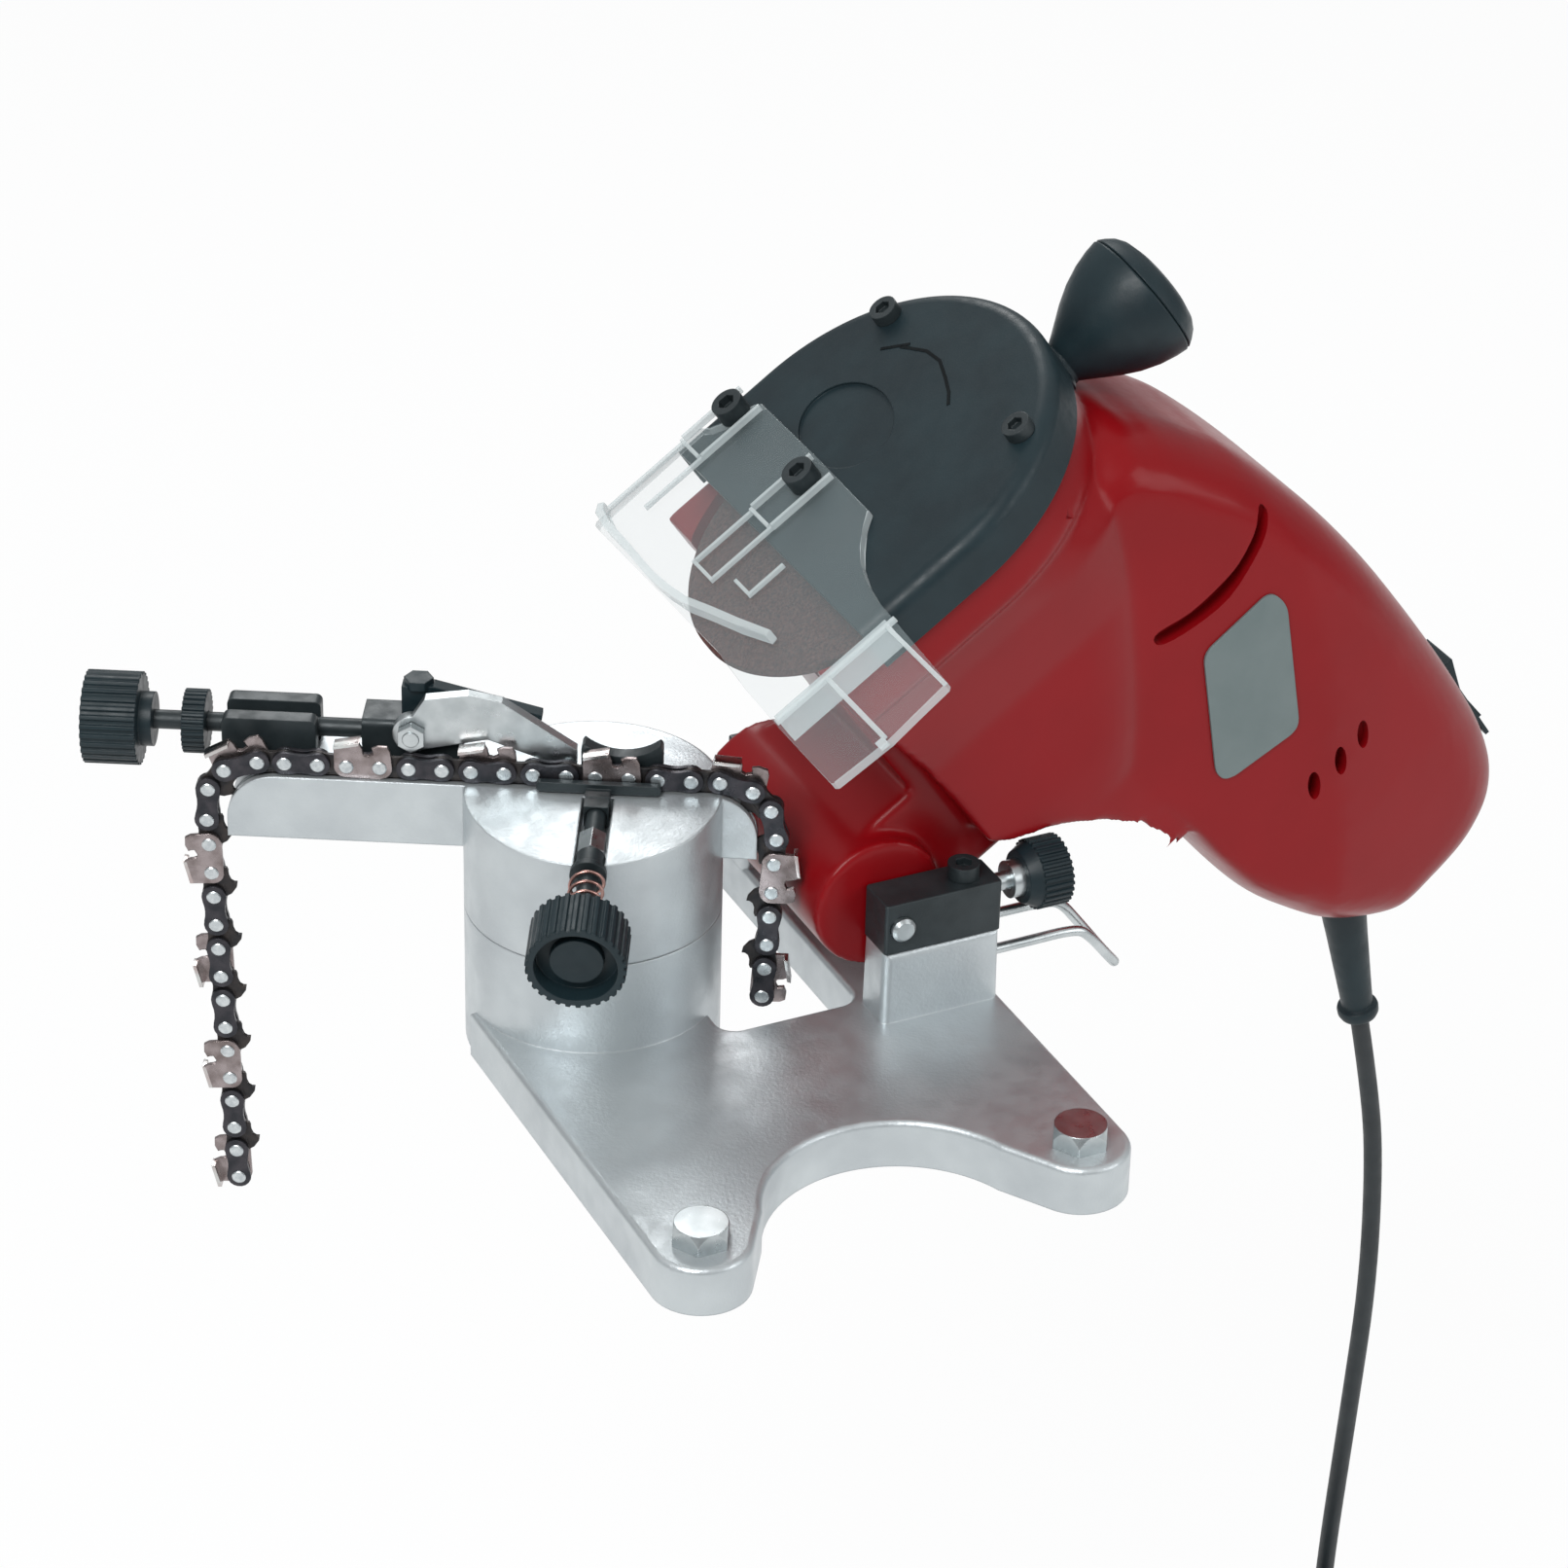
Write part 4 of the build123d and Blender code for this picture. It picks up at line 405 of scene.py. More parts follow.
def addLathe(bm, place, profile, sides):
    # A body turned about the local Z axis from pairs of radius and height
    angles = [2 * math.pi * side / sides for side in range(sides)]
    rings = []
    for radius, height in profile:
        if radius == 0:
            rings.append([bm.verts.new(place @ Vector((0, 0, height)))])
            continue
        ring = [Vector((radius * math.cos(angle), radius * math.sin(angle), height)) for angle in angles]
        rings.append([bm.verts.new(place @ point) for point in ring])
    for lower, upper in zip(rings, rings[1:]):
        for side in range(sides):
            after = (side + 1) % sides
            face = [lower[side % len(lower)], lower[after % len(lower)]]
            face += [upper[after % len(upper)], upper[side % len(upper)]]
            bm.faces.new(list(dict.fromkeys(face)))
    for ring, turned in ((rings[0], True), (rings[-1], False)):
        if len(ring) > 1:
            bm.faces.new(ring[::-1] if turned else ring)


# Saw chain: pairs of rivets at 3/8 inch pitch, straps outside, drive links inside (millimetres)

chain = {
    "height": 92.0, "middleY": -0.9, "strapPitch": 10.2, "drivePitch": 8.85, "firstRivet": -94.55,
    "topPairs": 8, "seatGap": 0.1, "cornerDrop": 2.8,
    "rightCorner": (5.7, 6.4), "rightHang": (1.8, 10.0), "rightWay": (-3.8, -65.2), "rightPairs": 3,
    "leftCorner": (8.35, 0.1), "leftKnee": (10.3, 3.4), "leftHang": (5.2, 6.9), "leftTurn": (0.7, 10.9),
    "leftWay": (5.3, -131.5), "leftPairs": 7,
    "halfHeight": 3.9, "strap": 1.4, "drive": 1.3, "clear": 0.1, "edge": 0.28,
    "endArc": (-110, 111, 20), "waistSteps": 6, "waistShare": 0.80, "waistCurve": 2.4,
    "rivetRadius": 2.25, "rivetProud": 0.55, "headSides": 20,
    "rivetHead": ((1, 0), (1, 0.45), (0.86, 0.9), (0.5, 1), (0, 1)),
    "tangDepth": 7.5, "tangThick": 0.9, "tang": (
        (-0.62, 0.05), (-0.60, 0.42), (-0.44, 0.74), (-0.18, 0.96), (0.02, 1.0), (0.0, 0.86),
        (0.08, 0.72), (0.26, 0.64), (0.5, 0.66), (0.62, 0.6), (0.62, 0.05),
    ),
}

# Cutter links: hook, gullet and heel are shares of the link's gauge, half height and top height

cutter = {
    "height": 8.6, "plate": 1.2, "reach": 4.6, "rake": 1.6, "front": 0.12,
    "lip": 0.3, "overlap": 0.05, "edgeShare": 0.8,
    "footArc": (-90, 1, 18), "heelArc": (-8, -91, -18), "heelTop": (0.98, 0.6),
    "hook": ((0.85, 0.78), (0.62, 1), (-0.1, 1.02), (-0.62, 0.9), (-0.4, 0.62)),
    "gullet": ((0.16, 0.92), (0, 1.05)), "gulletRise": 0.84,
    "phases": ((1, 1), (-1, 3)), "every": 4,
}

# Look, slot and replaced nodes of each piece of the chain

chainPieces = {
    "straps": ("chain_steel", "chain_steel", ("top_run_straps", "left_run_plates")),
    "drives": (
        "drive_steel", "chain_steel", ("top_run_drive_links", "left_run_drive_links", "right_run_links"),
    ),
    "cutters": ("cutter_steel", "cutter_steel", ("top_run_cutters",)),
    "crowns": ("crown_chrome", "cutter_steel", ()),
    "rivets": ("rivet_steel", "zinc_steel", ()),
}


def chainRun(start, way, pairs):
    size = math.hypot(*way)
    points, place = [], start
    for step in range(2 * pairs):
        pitch = chain["strapPitch"] if step % 2 else chain["drivePitch"]
        place = (place[0] + pitch * way[0] / size, place[1] + pitch * way[1] / size)
        points.append(place)
    return points


def stepDown(start, way):
    return (start[0] + way[0], start[1] - way[1])


def chainPoints():
    top = []
    for pair in range(chain["topPairs"]):
        left = chain["firstRivet"] + pair * (chain["strapPitch"] + chain["drivePitch"])
        top += [(left, chain["height"]), (left + chain["strapPitch"], chain["height"])]
    top[-1] = (top[-1][0] - chain["seatGap"], top[-1][1] - chain["cornerDrop"])
    right = [stepDown(top[-1], chain["rightCorner"])]
    right.append(stepDown(right[0], chain["rightHang"]))
    right += chainRun(right[-1], chain["rightWay"], chain["rightPairs"])
    left = [stepDown(top[0], (-chain["leftCorner"][0], chain["leftCorner"][1]))]
    for way in ("leftKnee", "leftHang", "leftTurn"):
        left.append(stepDown(left[-1], (-chain[way][0], chain[way][1])))
    left += chainRun(left[-1], chain["leftWay"], chain["leftPairs"])
    return left[::-1], top, right


def linkPlace(first, last):
    # Local X runs along the link, local Y away from the rail, local Z toward the user
    wayX, wayZ = last[0] - first[0], last[1] - first[1]
    size = math.hypot(wayX, wayZ)
    x, z = Vector((wayX / size, 0, wayZ / size)), Vector((0, -1, 0))
    turn = Matrix((x, z.cross(x), z)).transposed().to_4x4()
    middle = Vector(((first[0] + last[0]) / 2, chain["middleY"], (first[1] + last[1]) / 2))
    return viseMm @ Matrix.Translation(middle) @ turn


def arc(middle, radius, degrees, side=1):
    angles = [math.radians(step) for step in range(*degrees)]
    return [(middle + side * radius * math.cos(angle), radius * math.sin(angle)) for angle in angles]


def linkOutline(span, half):
    reach, narrow = span / 2, chain["waistShare"]
    upper = arc(reach, half, chain["endArc"])
    for step in range(-2, 3):
        share = step / chain["waistSteps"]
        height = half * (narrow + (1 - narrow) * (chain["waistCurve"] * share) ** 2)
        upper.append((-2 * share * reach, height))
    return upper + [(-x, -y) for x, y in upper]


def addRivets(bm, first, last):
    half = chain["drive"] / 2 + chain["clear"] + chain["strap"]
    head = [(chain["rivetRadius"] * wide, chain["rivetProud"] * high) for wide, high in chain["rivetHead"]]
    reach = math.dist(first, last) / 2
    for x in (-reach, reach):
        for side in (-1, 1):
            place = linkPlace(first, last) @ Matrix.Translation((x, 0, side * half))
            flip = Matrix.Rotation(0 if side > 0 else math.pi, 4, "X")
            addLathe(bm, place @ flip, head, chain["headSides"])


def outerPlate(side):
    # Depths of a strap on the given side of the drive links
    low = side * (chain["drive"] / 2 + chain["clear"])
    return low, low + side * chain["strap"]


def addStrap(bm, first, last, side):
    outline = linkOutline(math.dist(first, last), chain["halfHeight"])
    addSlab(bm, linkPlace(first, last), outline, *sorted(outerPlate(side)), chain["edge"])


def addDriveLink(bm, first, last):
    span, half = math.dist(first, last), chain["drive"] / 2
    place, edge = linkPlace(first, last), chain["edge"] / 2
    addSlab(bm, place, linkOutline(span, chain["halfHeight"]), -half, half, edge)
    tang = [(x * span, -y * chain["tangDepth"]) for x, y in chain["tang"]]
    addSlab(bm, place, tang, -half * chain["tangThick"], half * chain["tangThick"], edge)


def cutterSide(span):
    half, gauge = chain["halfHeight"], span / 2
    rear, front = -gauge - half, -span * cutter["front"]
    high, low = cutter["height"], cutter["height"] - cutter["plate"]
    foot = arc(gauge, half, cutter["footArc"])
    hook = [(gauge + half * along, low * up) for along, up in cutter["hook"]]
    gullet = [(span * along, half * up) for along, up in cutter["gullet"]]
    rise = [
        (front + cutter["plate"], low * cutter["gulletRise"]), (front, high), (rear, high - cutter["rake"]),
    ]
    top = [(rear * cutter["heelTop"][0], half * cutter["heelTop"][1])]
    return foot + hook + gullet + rise + top + arc(-gauge, half, cutter["heelArc"], -1)


def addCutter(bm, crownMesh, first, last, side):
    span = math.dist(first, last)
    place = linkPlace(first, last)
    low, outer = outerPlate(side)
    addSlab(bm, place, cutterSide(span), *sorted((low, outer)), chain["edge"])
    rear, front = -span / 2 - chain["halfHeight"], -span * cutter["front"]
    high, rake, thick, lap = cutter["height"], cutter["rake"], cutter["plate"], cutter["overlap"]
    crown = [
        (rear, high - rake - thick), (front, high - thick), (front + cutter["lip"], high + lap),
        (rear, high - rake + lap),
    ]
    across = sorted((outer + side * lap, outer - side * cutter["reach"]))
    addSlab(crownMesh, place, crown, *across, chain["edge"] * cutter["edgeShare"])


def addChain():
    left, top, right = chainPoints()
    meshes = {name: bmesh.new() for name in chainPieces}
    runs = ((left, -(len(left) // 2)), (top, 0), (right, chain["topPairs"]))
    for points, firstPair in runs:
        for place in range(0, len(points) - 1, 2):
            pair = firstPair + place // 2
            first, last = points[place], points[place + 1]
            for side, phase in cutter["phases"]:
                if (pair - phase) % cutter["every"] == 0:
                    addCutter(meshes["cutters"], meshes["crowns"], first, last, side)
                else:
                    addStrap(meshes["straps"], first, last, side)
            addRivets(meshes["rivets"], first, last)
        for place in range(1, len(points) - 1, 2):
            addDriveLink(meshes["drives"], points[place], points[place + 1])
    addDriveLink(meshes["drives"], left[-1], top[0])
    addDriveLink(meshes["drives"], top[-1], right[0])
    for name, bm in meshes.items():
        look, slot, nodes = chainPieces[name]
        obj = finishMesh("chain_" + name, bm, look)
        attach(obj, "vise")
        if nodes:
            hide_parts(*nodes)


addChain()
print("chain linked")


# Housing of the head: collar, neck, leg and motor bulge grown into one moulding, in the head's
# millimetres. Rows of the neck: place along the head, half width, height of the arch, lower edge.

housing = {
    "voxel": 1.2, "smoothing": 10, "smoothShare": 0.5, "sharpAngle": 38, "archSteps": 40, "roundSides": 72,
    "neck": (
        (-88, 63.5, 84, 30), (-73.5, 63.5, 84, 30), (-71.5, 60.6, 86, 31), (-59, 56.8, 97, 33),
        (-32, 50.8, 99, 37), (-7, 50.0, 88, 38), (5, 49.8, 81.5, 38), (10, 49.6, 79, 43), (18, 49, 75, 56),
        (24, 48.4, 72, 63.5), (40, 47, 76, 78), (62, 45.4, 80, 87),
    ),
    "leg": ((-20, -36, -2), (20, 36, 50)), "keel": ((-80, -36, 30), (19, 36, 50)), "barrel": (21.6, 84.6),
    "outline": (
        (-74, 142), (-63, 155), (-53, 162), (-40, 169), (-28, 174.5), (-6, 181), (20, 186.5), (50, 190),
        (92, 191.8), (120, 191.4), (134, 190), (147, 186.5), (156, 180.5), (161.5, 172), (164.8, 161),
        (165.4, 146), (164.2, 131), (156.5, 119.5), (145, 109), (132, 101.5), (115, 94.6), (97, 91),
        (75, 89), (60, 87.4), (46, 83), (34.5, 74), (22, 59), (12, 46), (-30, 45), (-66, 60), (-76, 100),
    ),
    "ringShares": (
        1, 0.995, 0.985, 0.97, 0.95, 0.92, 0.88, 0.83, 0.77, 0.7, 0.62, 0.53, 0.43, 0.32, 0.2, 0.1,
    ),
    "centre": (45, 138), "halfWidth": 46.0, "flatTop": 19.0, "rim": 17.0,
    "lowRim": ((-80, 17), (0, 6), (24, 5), (80, 5), (100, 8), (124, 17)), "lowRimTop": 112,
    "crease": (
        (-90, 186), (-34, 175), (-14, 172), (7, 168), (26, 163), (45, 157), (65, 149), (91, 136),
        (108, 127), (128, 113), (150, 96),
    ),
    "creaseSlope": 0.88, "creaseFall": 0.20, "creaseSoft": 1.0,
    "slot": (
        (-20.2, 167.5), (-15.4, 160.5), (-11, 152), (-9.4, 144), (-8.9, 131), (-11.4, 119.4),
        (-9.6, 116.4), (-6.2, 118.6), (-3.4, 129.6), (-3.0, 143.4), (-8.3, 157.1), (-14.6, 167.2),
        (-17.7, 169.3),
    ),
    "vents": ((80.6, 130.3), (80.4, 142.0), (79.6, 153.0)),
    "ventEdge": (
        (1.8, 1.6), (4.5, -0.7), (4.5, -2.6), (1.9, -3.0), (-1.8, -1.7), (-4.5, 0.7), (-4.5, 2.6),
        (-1.9, 3.0),
    ),
    "cutDepth": 6.0, "cutReach": 52,
    "notch": ((-83, 127), (-76.5, 116), (-73.5, 118), (-80, 129)), "notchDepths": (53, 66),
    "bores": ((57.5, -90, -80), (5.4, -81, -60), (13.2, -78.1, -67), (30.2, -68.4, 13), (13.2, 12, 21.2)),
    "boreHeight": 65.6, "pinRadius": 4.05, "pinReach": 60, "switch": ((111, -10, 173.8), (147, 10, 195)),
}
tiny = 1e-9


def between(points, x):
    for (x0, y0), (x1, y1) in zip(points, points[1:]):
        if x <= x1:
            return y0 + (y1 - y0) * (x - x0) / (x1 - x0)
    return points[-1][1]


def smoothLoop(corners, steps=6):
    # A closed curve through the corners
    points = []
    for place in range(len(corners)):
        a, b, c, d = (Vector(corners[(place + shift) % len(corners)]) for shift in (-1, 0, 1, 2))
        for step in range(steps):
            t = step / steps
            square = (2 * a - 5 * b + 4 * c - d) * t * t
            cube = (3 * b - a - 3 * c + d) * t ** 3
            points.append(0.5 * (2 * b + (c - a) * t + square + cube))
    return points


def rimDistance(point, loop):
    best = math.inf
    for first, last in zip(loop, loop[1:] + loop[:1]):
        way = last - first
        share = min(max((point - first).dot(way) / max(way.dot(way), tiny), 0), 1)
        best = min(best, (point - first - way * share).length)
    return best


def sideHeight(point, gap):
    # Half width of the bulge: flat flank, a second plane above the crease, a rounded rim
    above = (point.y - between(housing["crease"], point.x)) * housing["creaseSlope"]
    soft = housing["creaseSoft"]
    fall = max(above, 0) if abs(above) > soft else (above + soft) ** 2 / (4 * soft)
    flank = housing["halfWidth"] - housing["creaseFall"] * fall
    rim = between(housing["lowRim"], point.x) if point.y < housing["lowRimTop"] else housing["rim"]
    share = min(gap / rim, 1)
    return housing["flatTop"] + (flank - housing["flatTop"]) * math.sqrt(1 - (1 - share) ** 2)


def addBulge(bm):
    loop = smoothLoop(housing["outline"])
    centre = Vector(housing["centre"])
    for side in (-1, 1):
        rings = []
        for share in housing["ringShares"]:
            ring = []
            for rim in loop:
                point = centre + (rim - centre) * share
                gap = rimDistance(point, loop) if share < 1 else 0
                ring.append(bm.verts.new((point.x, side * sideHeight(point, gap), point.y)))
            rings.append(ring)
        joinRings(bm, rings)
        bm.faces.new(rings[-1])
        if side < 0:
            nearRim = rings[0]
        else:
            joinRings(bm, [nearRim, rings[0]])


def addNeck(bm):
    steps = housing["archSteps"]
    angles = [math.pi * step / steps for step in range(steps + 1)]
    rings = []
    for x, half, crown, low in housing["neck"]:
        arch = [(half * math.cos(angle), crown + half * math.sin(angle)) for angle in angles]
        ring = [(half, low)] + arch + [(-half, low)]
        rings.append([bm.verts.new((x, y, z)) for y, z in ring])
    joinRings(bm, rings)
    bm.faces.new(rings[0])
    bm.faces.new(rings[-1])


def addBlock(bm, low, high):
    made = bmesh.ops.create_cube(bm, size=1.0)["verts"]
    for vert in made:
        vert.co = Vector([a + (b - a) * (c + 0.5) for a, b, c in zip(low, high, vert.co)])


def addRound(bm, radius, low, high, axis, middle=(0, 0, 0)):
    turn = Matrix.Rotation(quarter, 4, "Y" if axis == "X" else "X")
    profile = [(radius, low), (radius, high)]
    addLathe(bm, Matrix.Translation(middle) @ turn, profile, housing["roundSides"])


def addBarrel(bm):
    radius, width = housing["barrel"]
    addRound(bm, radius, -width / 2, width / 2, "Y")


def housingCutter():
    bm = bmesh.new()
    for radius, low, high in housing["bores"]:
        addRound(bm, radius, low, high, "X", (0, 0, housing["boreHeight"]))
    addRound(bm, housing["pinRadius"], -housing["pinReach"], housing["pinReach"], "Y")
    addBlock(bm, *housing["switch"])
    depth = housing["halfWidth"] - housing["cutDepth"]
    flip = Matrix.Rotation(quarter, 4, "X")
    slot = [tuple(point) for point in smoothLoop(housing["slot"], 3)]
    vent = smoothLoop(housing["ventEdge"], 4)
    for side in (-1, 1):
        depths = sorted((side * depth, side * housing["cutReach"]))
        addSlab(bm, flip, slot, *depths)
        for middle in housing["vents"]:
            addSlab(bm, flip, [tuple(point + Vector(middle)) for point in vent], *depths)
        addSlab(bm, flip, housing["notch"], *sorted(side * place for place in housing["notchDepths"]))
    return meshOf("housing_cutter", bm)


def addHousing():
    blocks = [lambda bm, ends=housing[name]: addBlock(bm, *ends) for name in ("leg", "keel")]
    shells = []
    for build in (addBulge, addNeck, *blocks, addBarrel):
        bm = bmesh.new()
        build(bm)
        shells.append(meshOf("shell", bm))
    whole = bmesh.new()
    for shell in shells:
        whole.from_mesh(shell.data)
        bpy.data.objects.remove(shell)
    skin = meshOf("housing_skin", whole)
    remesh = skin.modifiers.new("grow", "REMESH")
    remesh.mode = "VOXEL"
    remesh.voxel_size = housing["voxel"]
    relax = skin.modifiers.new("relax", "SMOOTH")
    relax.iterations = housing["smoothing"]
    relax.factor = housing["smoothShare"]
    body = addObject("housing", baked(skin))
    cutBody = housingCutter()
    carve = body.modifiers.new("carve", "BOOLEAN")
    carve.operation = "DIFFERENCE"
    carve.solver = "EXACT"
    carve.object = cutBody
    mesh = baked(body)
    bpy.data.objects.remove(cutBody)
    mesh.transform(headMm)
    paintSkin(mesh, "housing_red")
    mesh.set_sharp_from_angle(angle=math.radians(housing["sharpAngle"]))
    obj = addObject("housing", mesh)
    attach(obj, "head")
    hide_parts("housing_near", "housing_far")
    print("housing grown,", len(mesh.vertices), "points")


addHousing()


# Plain badge plate on the near flank

badge = {
    "corners": ((5.6, 155.0), (14.0, 156.8), (57.0, 137.2), (53.6, 109.0), (48.5, 107.0), (7.0, 126.4)),
    "round": 4.0, "roundSteps": 5, "roundMost": 0.45, "thick": 0.8, "sink": 0.5, "edge": 0.3,
}


def roundCorners(corners):
    # Each corner becomes a curve that takes at most a share of the sides beside it
    radius, steps, most = badge["round"], badge["roundSteps"], badge["roundMost"]
    points = []
    for place in range(len(corners)):
        before, at, after = (Vector(corners[(place + shift) % len(corners)]) for shift in (-1, 0, 1))
        first = at + (before - at).normalized() * min(radius, (before - at).length * most)
        last = at + (after - at).normalized() * min(radius, (after - at).length * most)
        for step in range(steps + 1):
            t = step / steps
            points.append(tuple((1 - t) ** 2 * first + 2 * t * (1 - t) * at + t * t * last))
    return points


def addBadge():
    bm = bmesh.new()
    flip = headMm @ Matrix.Rotation(quarter, 4, "X")
    depth = housing["halfWidth"]
    outline = roundCorners(badge["corners"])
    addSlab(bm, flip, outline, depth - badge["sink"], depth + badge["thick"], badge["edge"])
    obj = finishMesh("badge", bm, "grey_plate")
    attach(obj, "head")
    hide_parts("badge_plate")


addBadge()
print("badge set")


# Front handle: a waisted ball turned in one piece, with a domed cap above its seam

handle = {
    "place": (-79.0, 0, 0), "sides": 96,
    "body": (
        (0, 147.7), (8.4, 147.7), (8.6, 148.6), (7.4, 149.6), (7.2, 151.0), (8.6, 153.2), (11.0, 156.8),
        (14.5, 162.0), (17.6, 167.6), (19.9, 173.4), (21.2, 178.6), (21.7, 182.4), (21.3, 182.9), (0, 182.9),
    ),
    "cap": (
        (0, 183.1), (21.2, 183.1), (21.5, 183.5), (20.4, 185.3), (18.6, 187.5), (16.2, 189.1), (12, 190.3),
        (6, 190.9), (0, 191),
    ),
}


def addHandle():
    place = headMm @ Matrix.Translation(handle["place"])
    for name, node in (("body", "handle"), ("cap", "handle_cap")):
        bm = bmesh.new()
        addLathe(bm, place, handle[name], handle["sides"])
        obj = finishMesh("handle_" + name, bm, "black_plastic")
        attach(obj, "head")
        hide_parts(node)


# Case screws on the far flank, their domed heads seated on it, with a round recess

caseScrews = {
    "places": ((-38.0, 128.0), (136.0, 166.0), (136.0, 122.0)),
    "radius": 4.0, "proud": 2.0, "sink": 1.2, "sides": 32,
    "dome": ((1, 0.5), (0.85, 0.85), (0.3, 1), (0.22, 0.3), (0, 0.3)),
}


def addCaseScrews():
    bm = bmesh.new()
    loop = smoothLoop(housing["outline"])
    radius, proud, sink = caseScrews["radius"], caseScrews["proud"], caseScrews["sink"]
    head = [(0, -sink), (radius, -sink)]
    head += [(radius * wide, proud * high) for wide, high in caseScrews["dome"]]
    for x, z in caseScrews["places"]:
        point = Vector((x, z))
        seat = sideHeight(point, rimDistance(point, loop))
        turn = Matrix.Translation((x, seat, z)) @ Matrix.Rotation(-quarter, 4, "X")
        addLathe(bm, headMm @ turn, head, caseScrews["sides"])
    obj = finishMesh("case_screws", bm, "zinc_steel")
    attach(obj, "head")
    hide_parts("housing_screws")


# Strain relief: a tapered rubber sleeve with a collar at its tip

relief = {
    "root": (174.0, 0, 121.0), "way": (0.927, 0, -0.376), "sides": 64,
    "profile": (
        (0, -12.0), (7.9, -12.0), (8.0, -4.0), (7.8, 2.0), (7.0, 14.0), (6.3, 27.0), (5.7, 38.0),
        (5.5, 43.4), (6.9, 44.2), (7.2, 45.2), (7.1, 47.0), (6.4, 48.4), (4.8, 49.2), (3.6, 49.6), (0, 49.6),
    ),
}


def addRelief():
    bm = bmesh.new()
    turn = Vector(relief["way"]).to_track_quat("Z", "Y").to_matrix().to_4x4()
    place = headMm @ Matrix.Translation(relief["root"]) @ turn
    addLathe(bm, place, relief["profile"], relief["sides"])
    obj = finishMesh("lead_relief", bm, "black_plastic")
    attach(obj, "head")
    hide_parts("strain_relief")


addHandle()
addCaseScrews()
addRelief()
print("handle, case screws and strain relief set")


# Sight shield: a clear plate over the wheel with a curved rim, guides for its screws, ribs and a
# wing beside the collar. Ribs are rows of left, low, right and high.

shield = {
    "back": -104.3, "thick": 3.0, "edge": 0.45,
    "plate": (
        (60.4, 55.7), (57, 57.3), (53.9, 62), (50.6, 73), (48.6, 74.6), (7.8, 74.3), (-28, 73.5),
        (-32.7, 68.3), (-38.4, 63.8), (-45.5, 60.2), (-53.9, 57.6), (-63.7, 56.0), (-73.3, 55.6),
        (-91, 54.6), (-112, 53.4), (-113, 52.4), (-114.6, 30), (-113.4, 10.4), (-112.4, 9.6),
        (-75.7, 9.7), (-54, 10.2), (-39.5, 11.2), (-31, 12.0), (20, 11.5), (57.8, 11), (59, 12),
    ),
    "wall": ((-104.3, -71.5, 11.0), (-94.3, -68.5, 54.0)),
    "rim": (
        (58.4, 17), (56, 14.6), (47.5, 13.6), (36.2, 13.7), (23.9, 13.3), (12.8, 13), (3.1, 13.6),
        (-7.5, 15), (-19.8, 18.5), (-33.1, 22), (-46.6, 26.2),
    ),
    "rimWide": 2.4, "rimProud": 5.0, "rimEdge": 0.7, "ribProud": 1.6, "ribEdge": 0.3, "flatShare": 0.9,
    "screws": (53.0, 2.4), "guide": {"half": 6.3, "low": 49.5, "high": 73.4, "wide": 1.3, "proud": 2.4},
    "ribs": (
        (-77.2, 10, -75.6, 56), (-113.8, 28.8, -77.2, 30.4), (-117.0, 26.4, -113.6, 29.4),
        (-4.9, 26, -3.7, 49.5), (7.6, 26, 8.9, 49.5), (-4.9, 24.8, 8.9, 26), (-21.5, 29.8, -12.4, 31.0),
        (-22.7, 29.8, -21.5, 44), (45.4, 26, 46.7, 49.5), (58.0, 18, 59.3, 49.5),
        (-113.4, 51.8, -77.2, 53.2),
    ),
}


def shieldSlab(bm, outline, low, high, edge=0.0):
    # Local X of the outline is across the head, local Y up it, depth toward the front
    turn = Matrix(((0, 0, -1, 0), (1, 0, 0, 0), (0, 1, 0, 0), (0, 0, 0, 1)))
    addSlab(bm, headMm @ turn, outline, low, high, edge)


def rectangle(left, low, right, high):
    return ((left, low), (right, low), (right, high), (left, high))


def ribbon(points, wide):
    sides = [[], []]
    for place, point in enumerate(points):
        before = Vector(points[max(place - 1, 0)])
        after = Vector(points[min(place + 1, len(points) - 1)])
        across = (after - before).normalized().orthogonal() * wide / 2
        sides[0].append(tuple(Vector(point) + across))
        sides[1].append(tuple(Vector(point) - across))
    return sides[0] + sides[1][::-1]


def addGuides(trim, front):
    # Two sides and a foot around each screw's slot
    guide = shield["guide"]
    low, high, wide = guide["low"], guide["high"], guide["wide"]
    for y in shield["screws"]:
        left, right = y - guide["half"], y + guide["half"]
        sides = (
            (left - wide, low, left, high), (right, low, right + wide, high),
            (left, low - wide, right, low),
        )
        for side in sides:
            shieldSlab(trim, rectangle(*side), front, front + guide["proud"], shield["ribEdge"])


def addShield():
    front = -shield["back"] + shield["thick"]
    plate, trim = bmesh.new(), bmesh.new()
    shieldSlab(plate, shield["plate"], -shield["back"], front, shield["edge"])
    rim = ribbon(shield["rim"], shield["rimWide"])
    shieldSlab(trim, rim, front, front + shield["rimProud"], shield["rimEdge"])
    for rib in shield["ribs"]:
        shieldSlab(trim, rectangle(*rib), front, front + shield["ribProud"], shield["ribEdge"])
    addGuides(trim, front)
    low, high = shield["wall"]
    shieldSlab(trim, rectangle(low[1], low[2], high[1], high[2]), -high[0], -low[0], shield["ribEdge"])
    # The plate's edge faces and the whole rim, ribs, guides and wing take the edge look, a painted highlight
    body = finishMesh("sight_shield_plate", plate, "clear_plastic", False)
    body.data.materials.append(paints["clear_painted_highlight"])
    across = headPlace.to_3x3() @ Vector((1, 0, 0))
    for face in body.data.polygons:
        face.material_index = 0 if abs(face.normal.dot(across)) > shield["flatShare"] else 1
    ribs = finishMesh("sight_shield_ribs", trim, "clear_painted_highlight", False)
    for obj in (body, ribs):
        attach(obj, "sight_shield")
    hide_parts("shield")


addShield()
print("shield set")


# Direction arrow moulded into the wheel cover

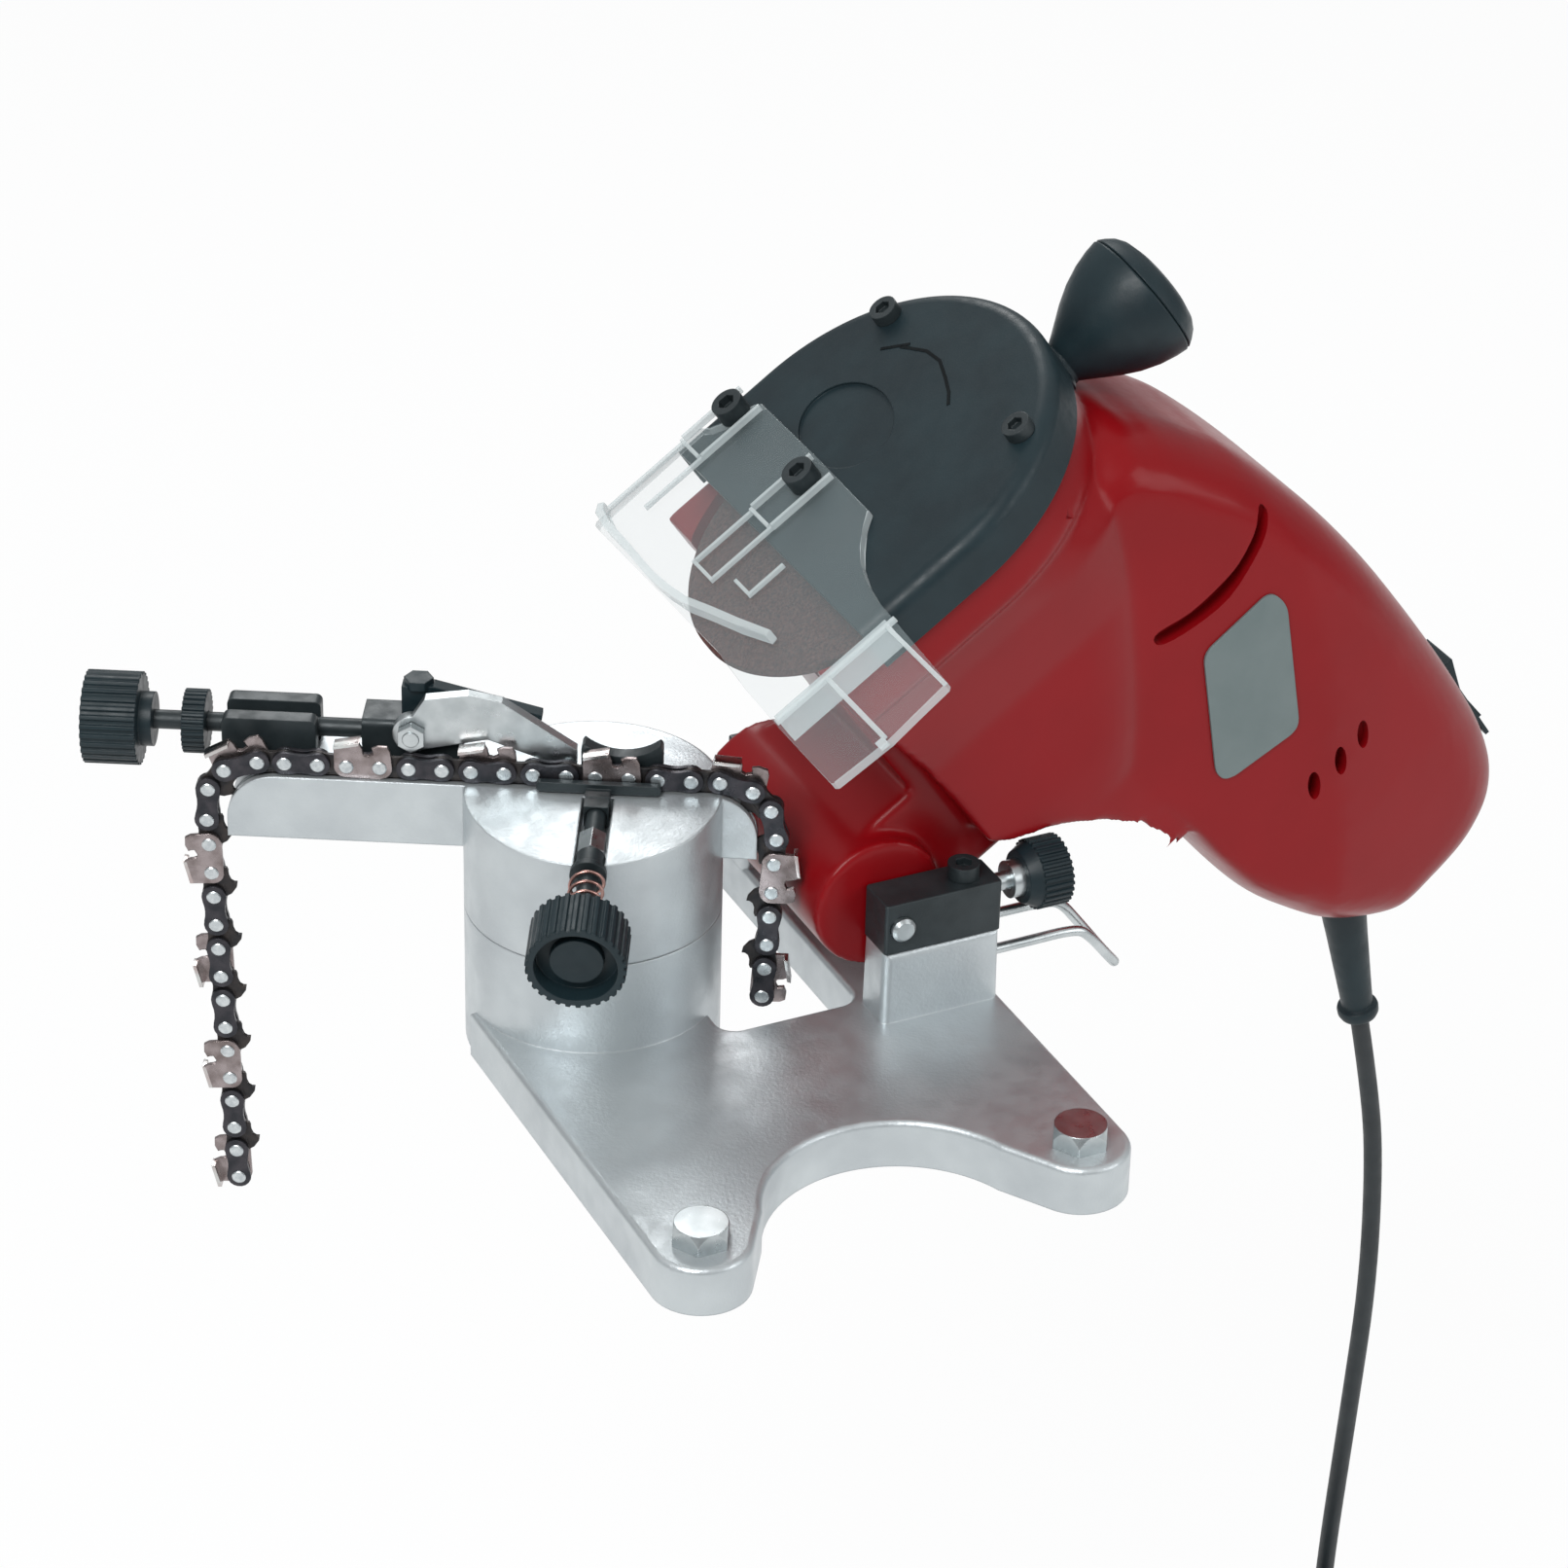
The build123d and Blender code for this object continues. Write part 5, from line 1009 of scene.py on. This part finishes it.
arrow = {
    "face": -104.15, "wide": 1.1, "deep": 0.5,
    "strokes": (
        ((33.5, 112.6), (25.4, 119.8)),
        ((27.5, 117.2), (24.6, 118.5), (17, 121.6), (9, 122.0), (0.8, 119.3), (-6, 116.6), (-10.6, 113.6)),
    ),
}


def addArrow():
    bm = bmesh.new()
    for stroke in arrow["strokes"]:
        shieldSlab(bm, ribbon(stroke, arrow["wide"]), -arrow["face"] - arrow["deep"], -arrow["face"])
    obj = finishMesh("cover_arrow", bm, "arrow_black", False)
    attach(obj, "head")


addArrow()
print("arrow set")


def addLine(name, points, width, resolution):
    # A round line along a smooth open curve
    curve = bpy.data.curves.new(name, "CURVE")
    curve.dimensions = "3D"
    spline = curve.splines.new("NURBS")
    spline.points.add(len(points) - 1)
    for point, place in zip(spline.points, points):
        point.co = (*place, 1)
    spline.order_u = 3
    spline.use_endpoint_u = True
    spline.resolution_u = resolution
    curve.bevel_depth = width / 2
    curve.bevel_resolution = 5
    curve.use_fill_caps = True
    return addObject(name, curve)


# Bent wire: a hairpin of plain steel wire, both legs seated in the front column (millimetres)

wire = {
    "width": 3.4, "resolution": 8, "places": (
        (106, -52, 30), (125, -52, 30), (143, -52, 30.3), (148, -52, 26.5), (156.5, -51.5, 15.5),
        (160, -49, 11.5), (157, -46, 15), (147, -45, 28.5), (140.5, -45, 37.0), (134, -45, 38.3),
        (120, -45, 38.3), (107, -45, 38.3),
    ),
}


def addWire():
    places = [Vector(place) * mm for place in wire["places"]]
    mesh = baked(addLine("wire_line", places, wire["width"] * mm, wire["resolution"]))
    paintSkin(mesh, "zinc_steel")
    obj = addObject("bent_wire", mesh)
    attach(obj, "base")
    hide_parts("bent_rod")


addWire()
print("wire bent")


# Mains lead: one smooth line from the strain relief to the plug (metres)

lead = {
    "width": 0.0065,
    "route": [
        (0.2881, 0.0, -0.0719), (0.2953, 0.0, -0.1031), (0.2996, -0.001, -0.134), (0.301, -0.003, -0.186),
        (0.2992, -0.002, -0.240), (0.296, -0.0008, -0.3165), (0.296, -0.0018, -0.3485),
    ],
    "coilStart": (0.296, -0.002, -0.355),
    "coilRadius": 0.036,
    "pitch": 0.0072,
    "turns": 7,
    "pointsPerTurn": 24,
    "resolution": 6,
    "plugLead": 0.028,
    "length": 1.897,
}


def leadPoints():
    points = [Vector(place) for place in lead["route"]]
    start = Vector(lead["coilStart"])
    radius, count = lead["coilRadius"], lead["pointsPerTurn"]
    reach = radius / math.cos(math.pi / count)
    centre = start - Vector((radius, 0, 0))
    for step in range(lead["turns"] * count):
        turn = (step + 0.5) / count
        angle = 2 * math.pi * turn
        away = Vector((reach * math.cos(angle), -lead["pitch"] * turn, -reach * math.sin(angle)))
        points.append(centre + away)
    end = start - Vector((0, lead["pitch"] * lead["turns"], 0))
    fall = Vector((0, -lead["pitch"] / (2 * math.pi * radius), -1)).normalized()
    points += [end + fall * lead["plugLead"] / 2, end + fall * lead["plugLead"]]
    return points


def addLead():
    obj = addLine("mains_lead", leadPoints(), lead["width"], lead["resolution"])
    obj.data.materials.append(paints["cord_rubber"])
    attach(obj, "head")
    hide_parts("cord_tube", "cord_coil")


addLead()
print("lead laid")
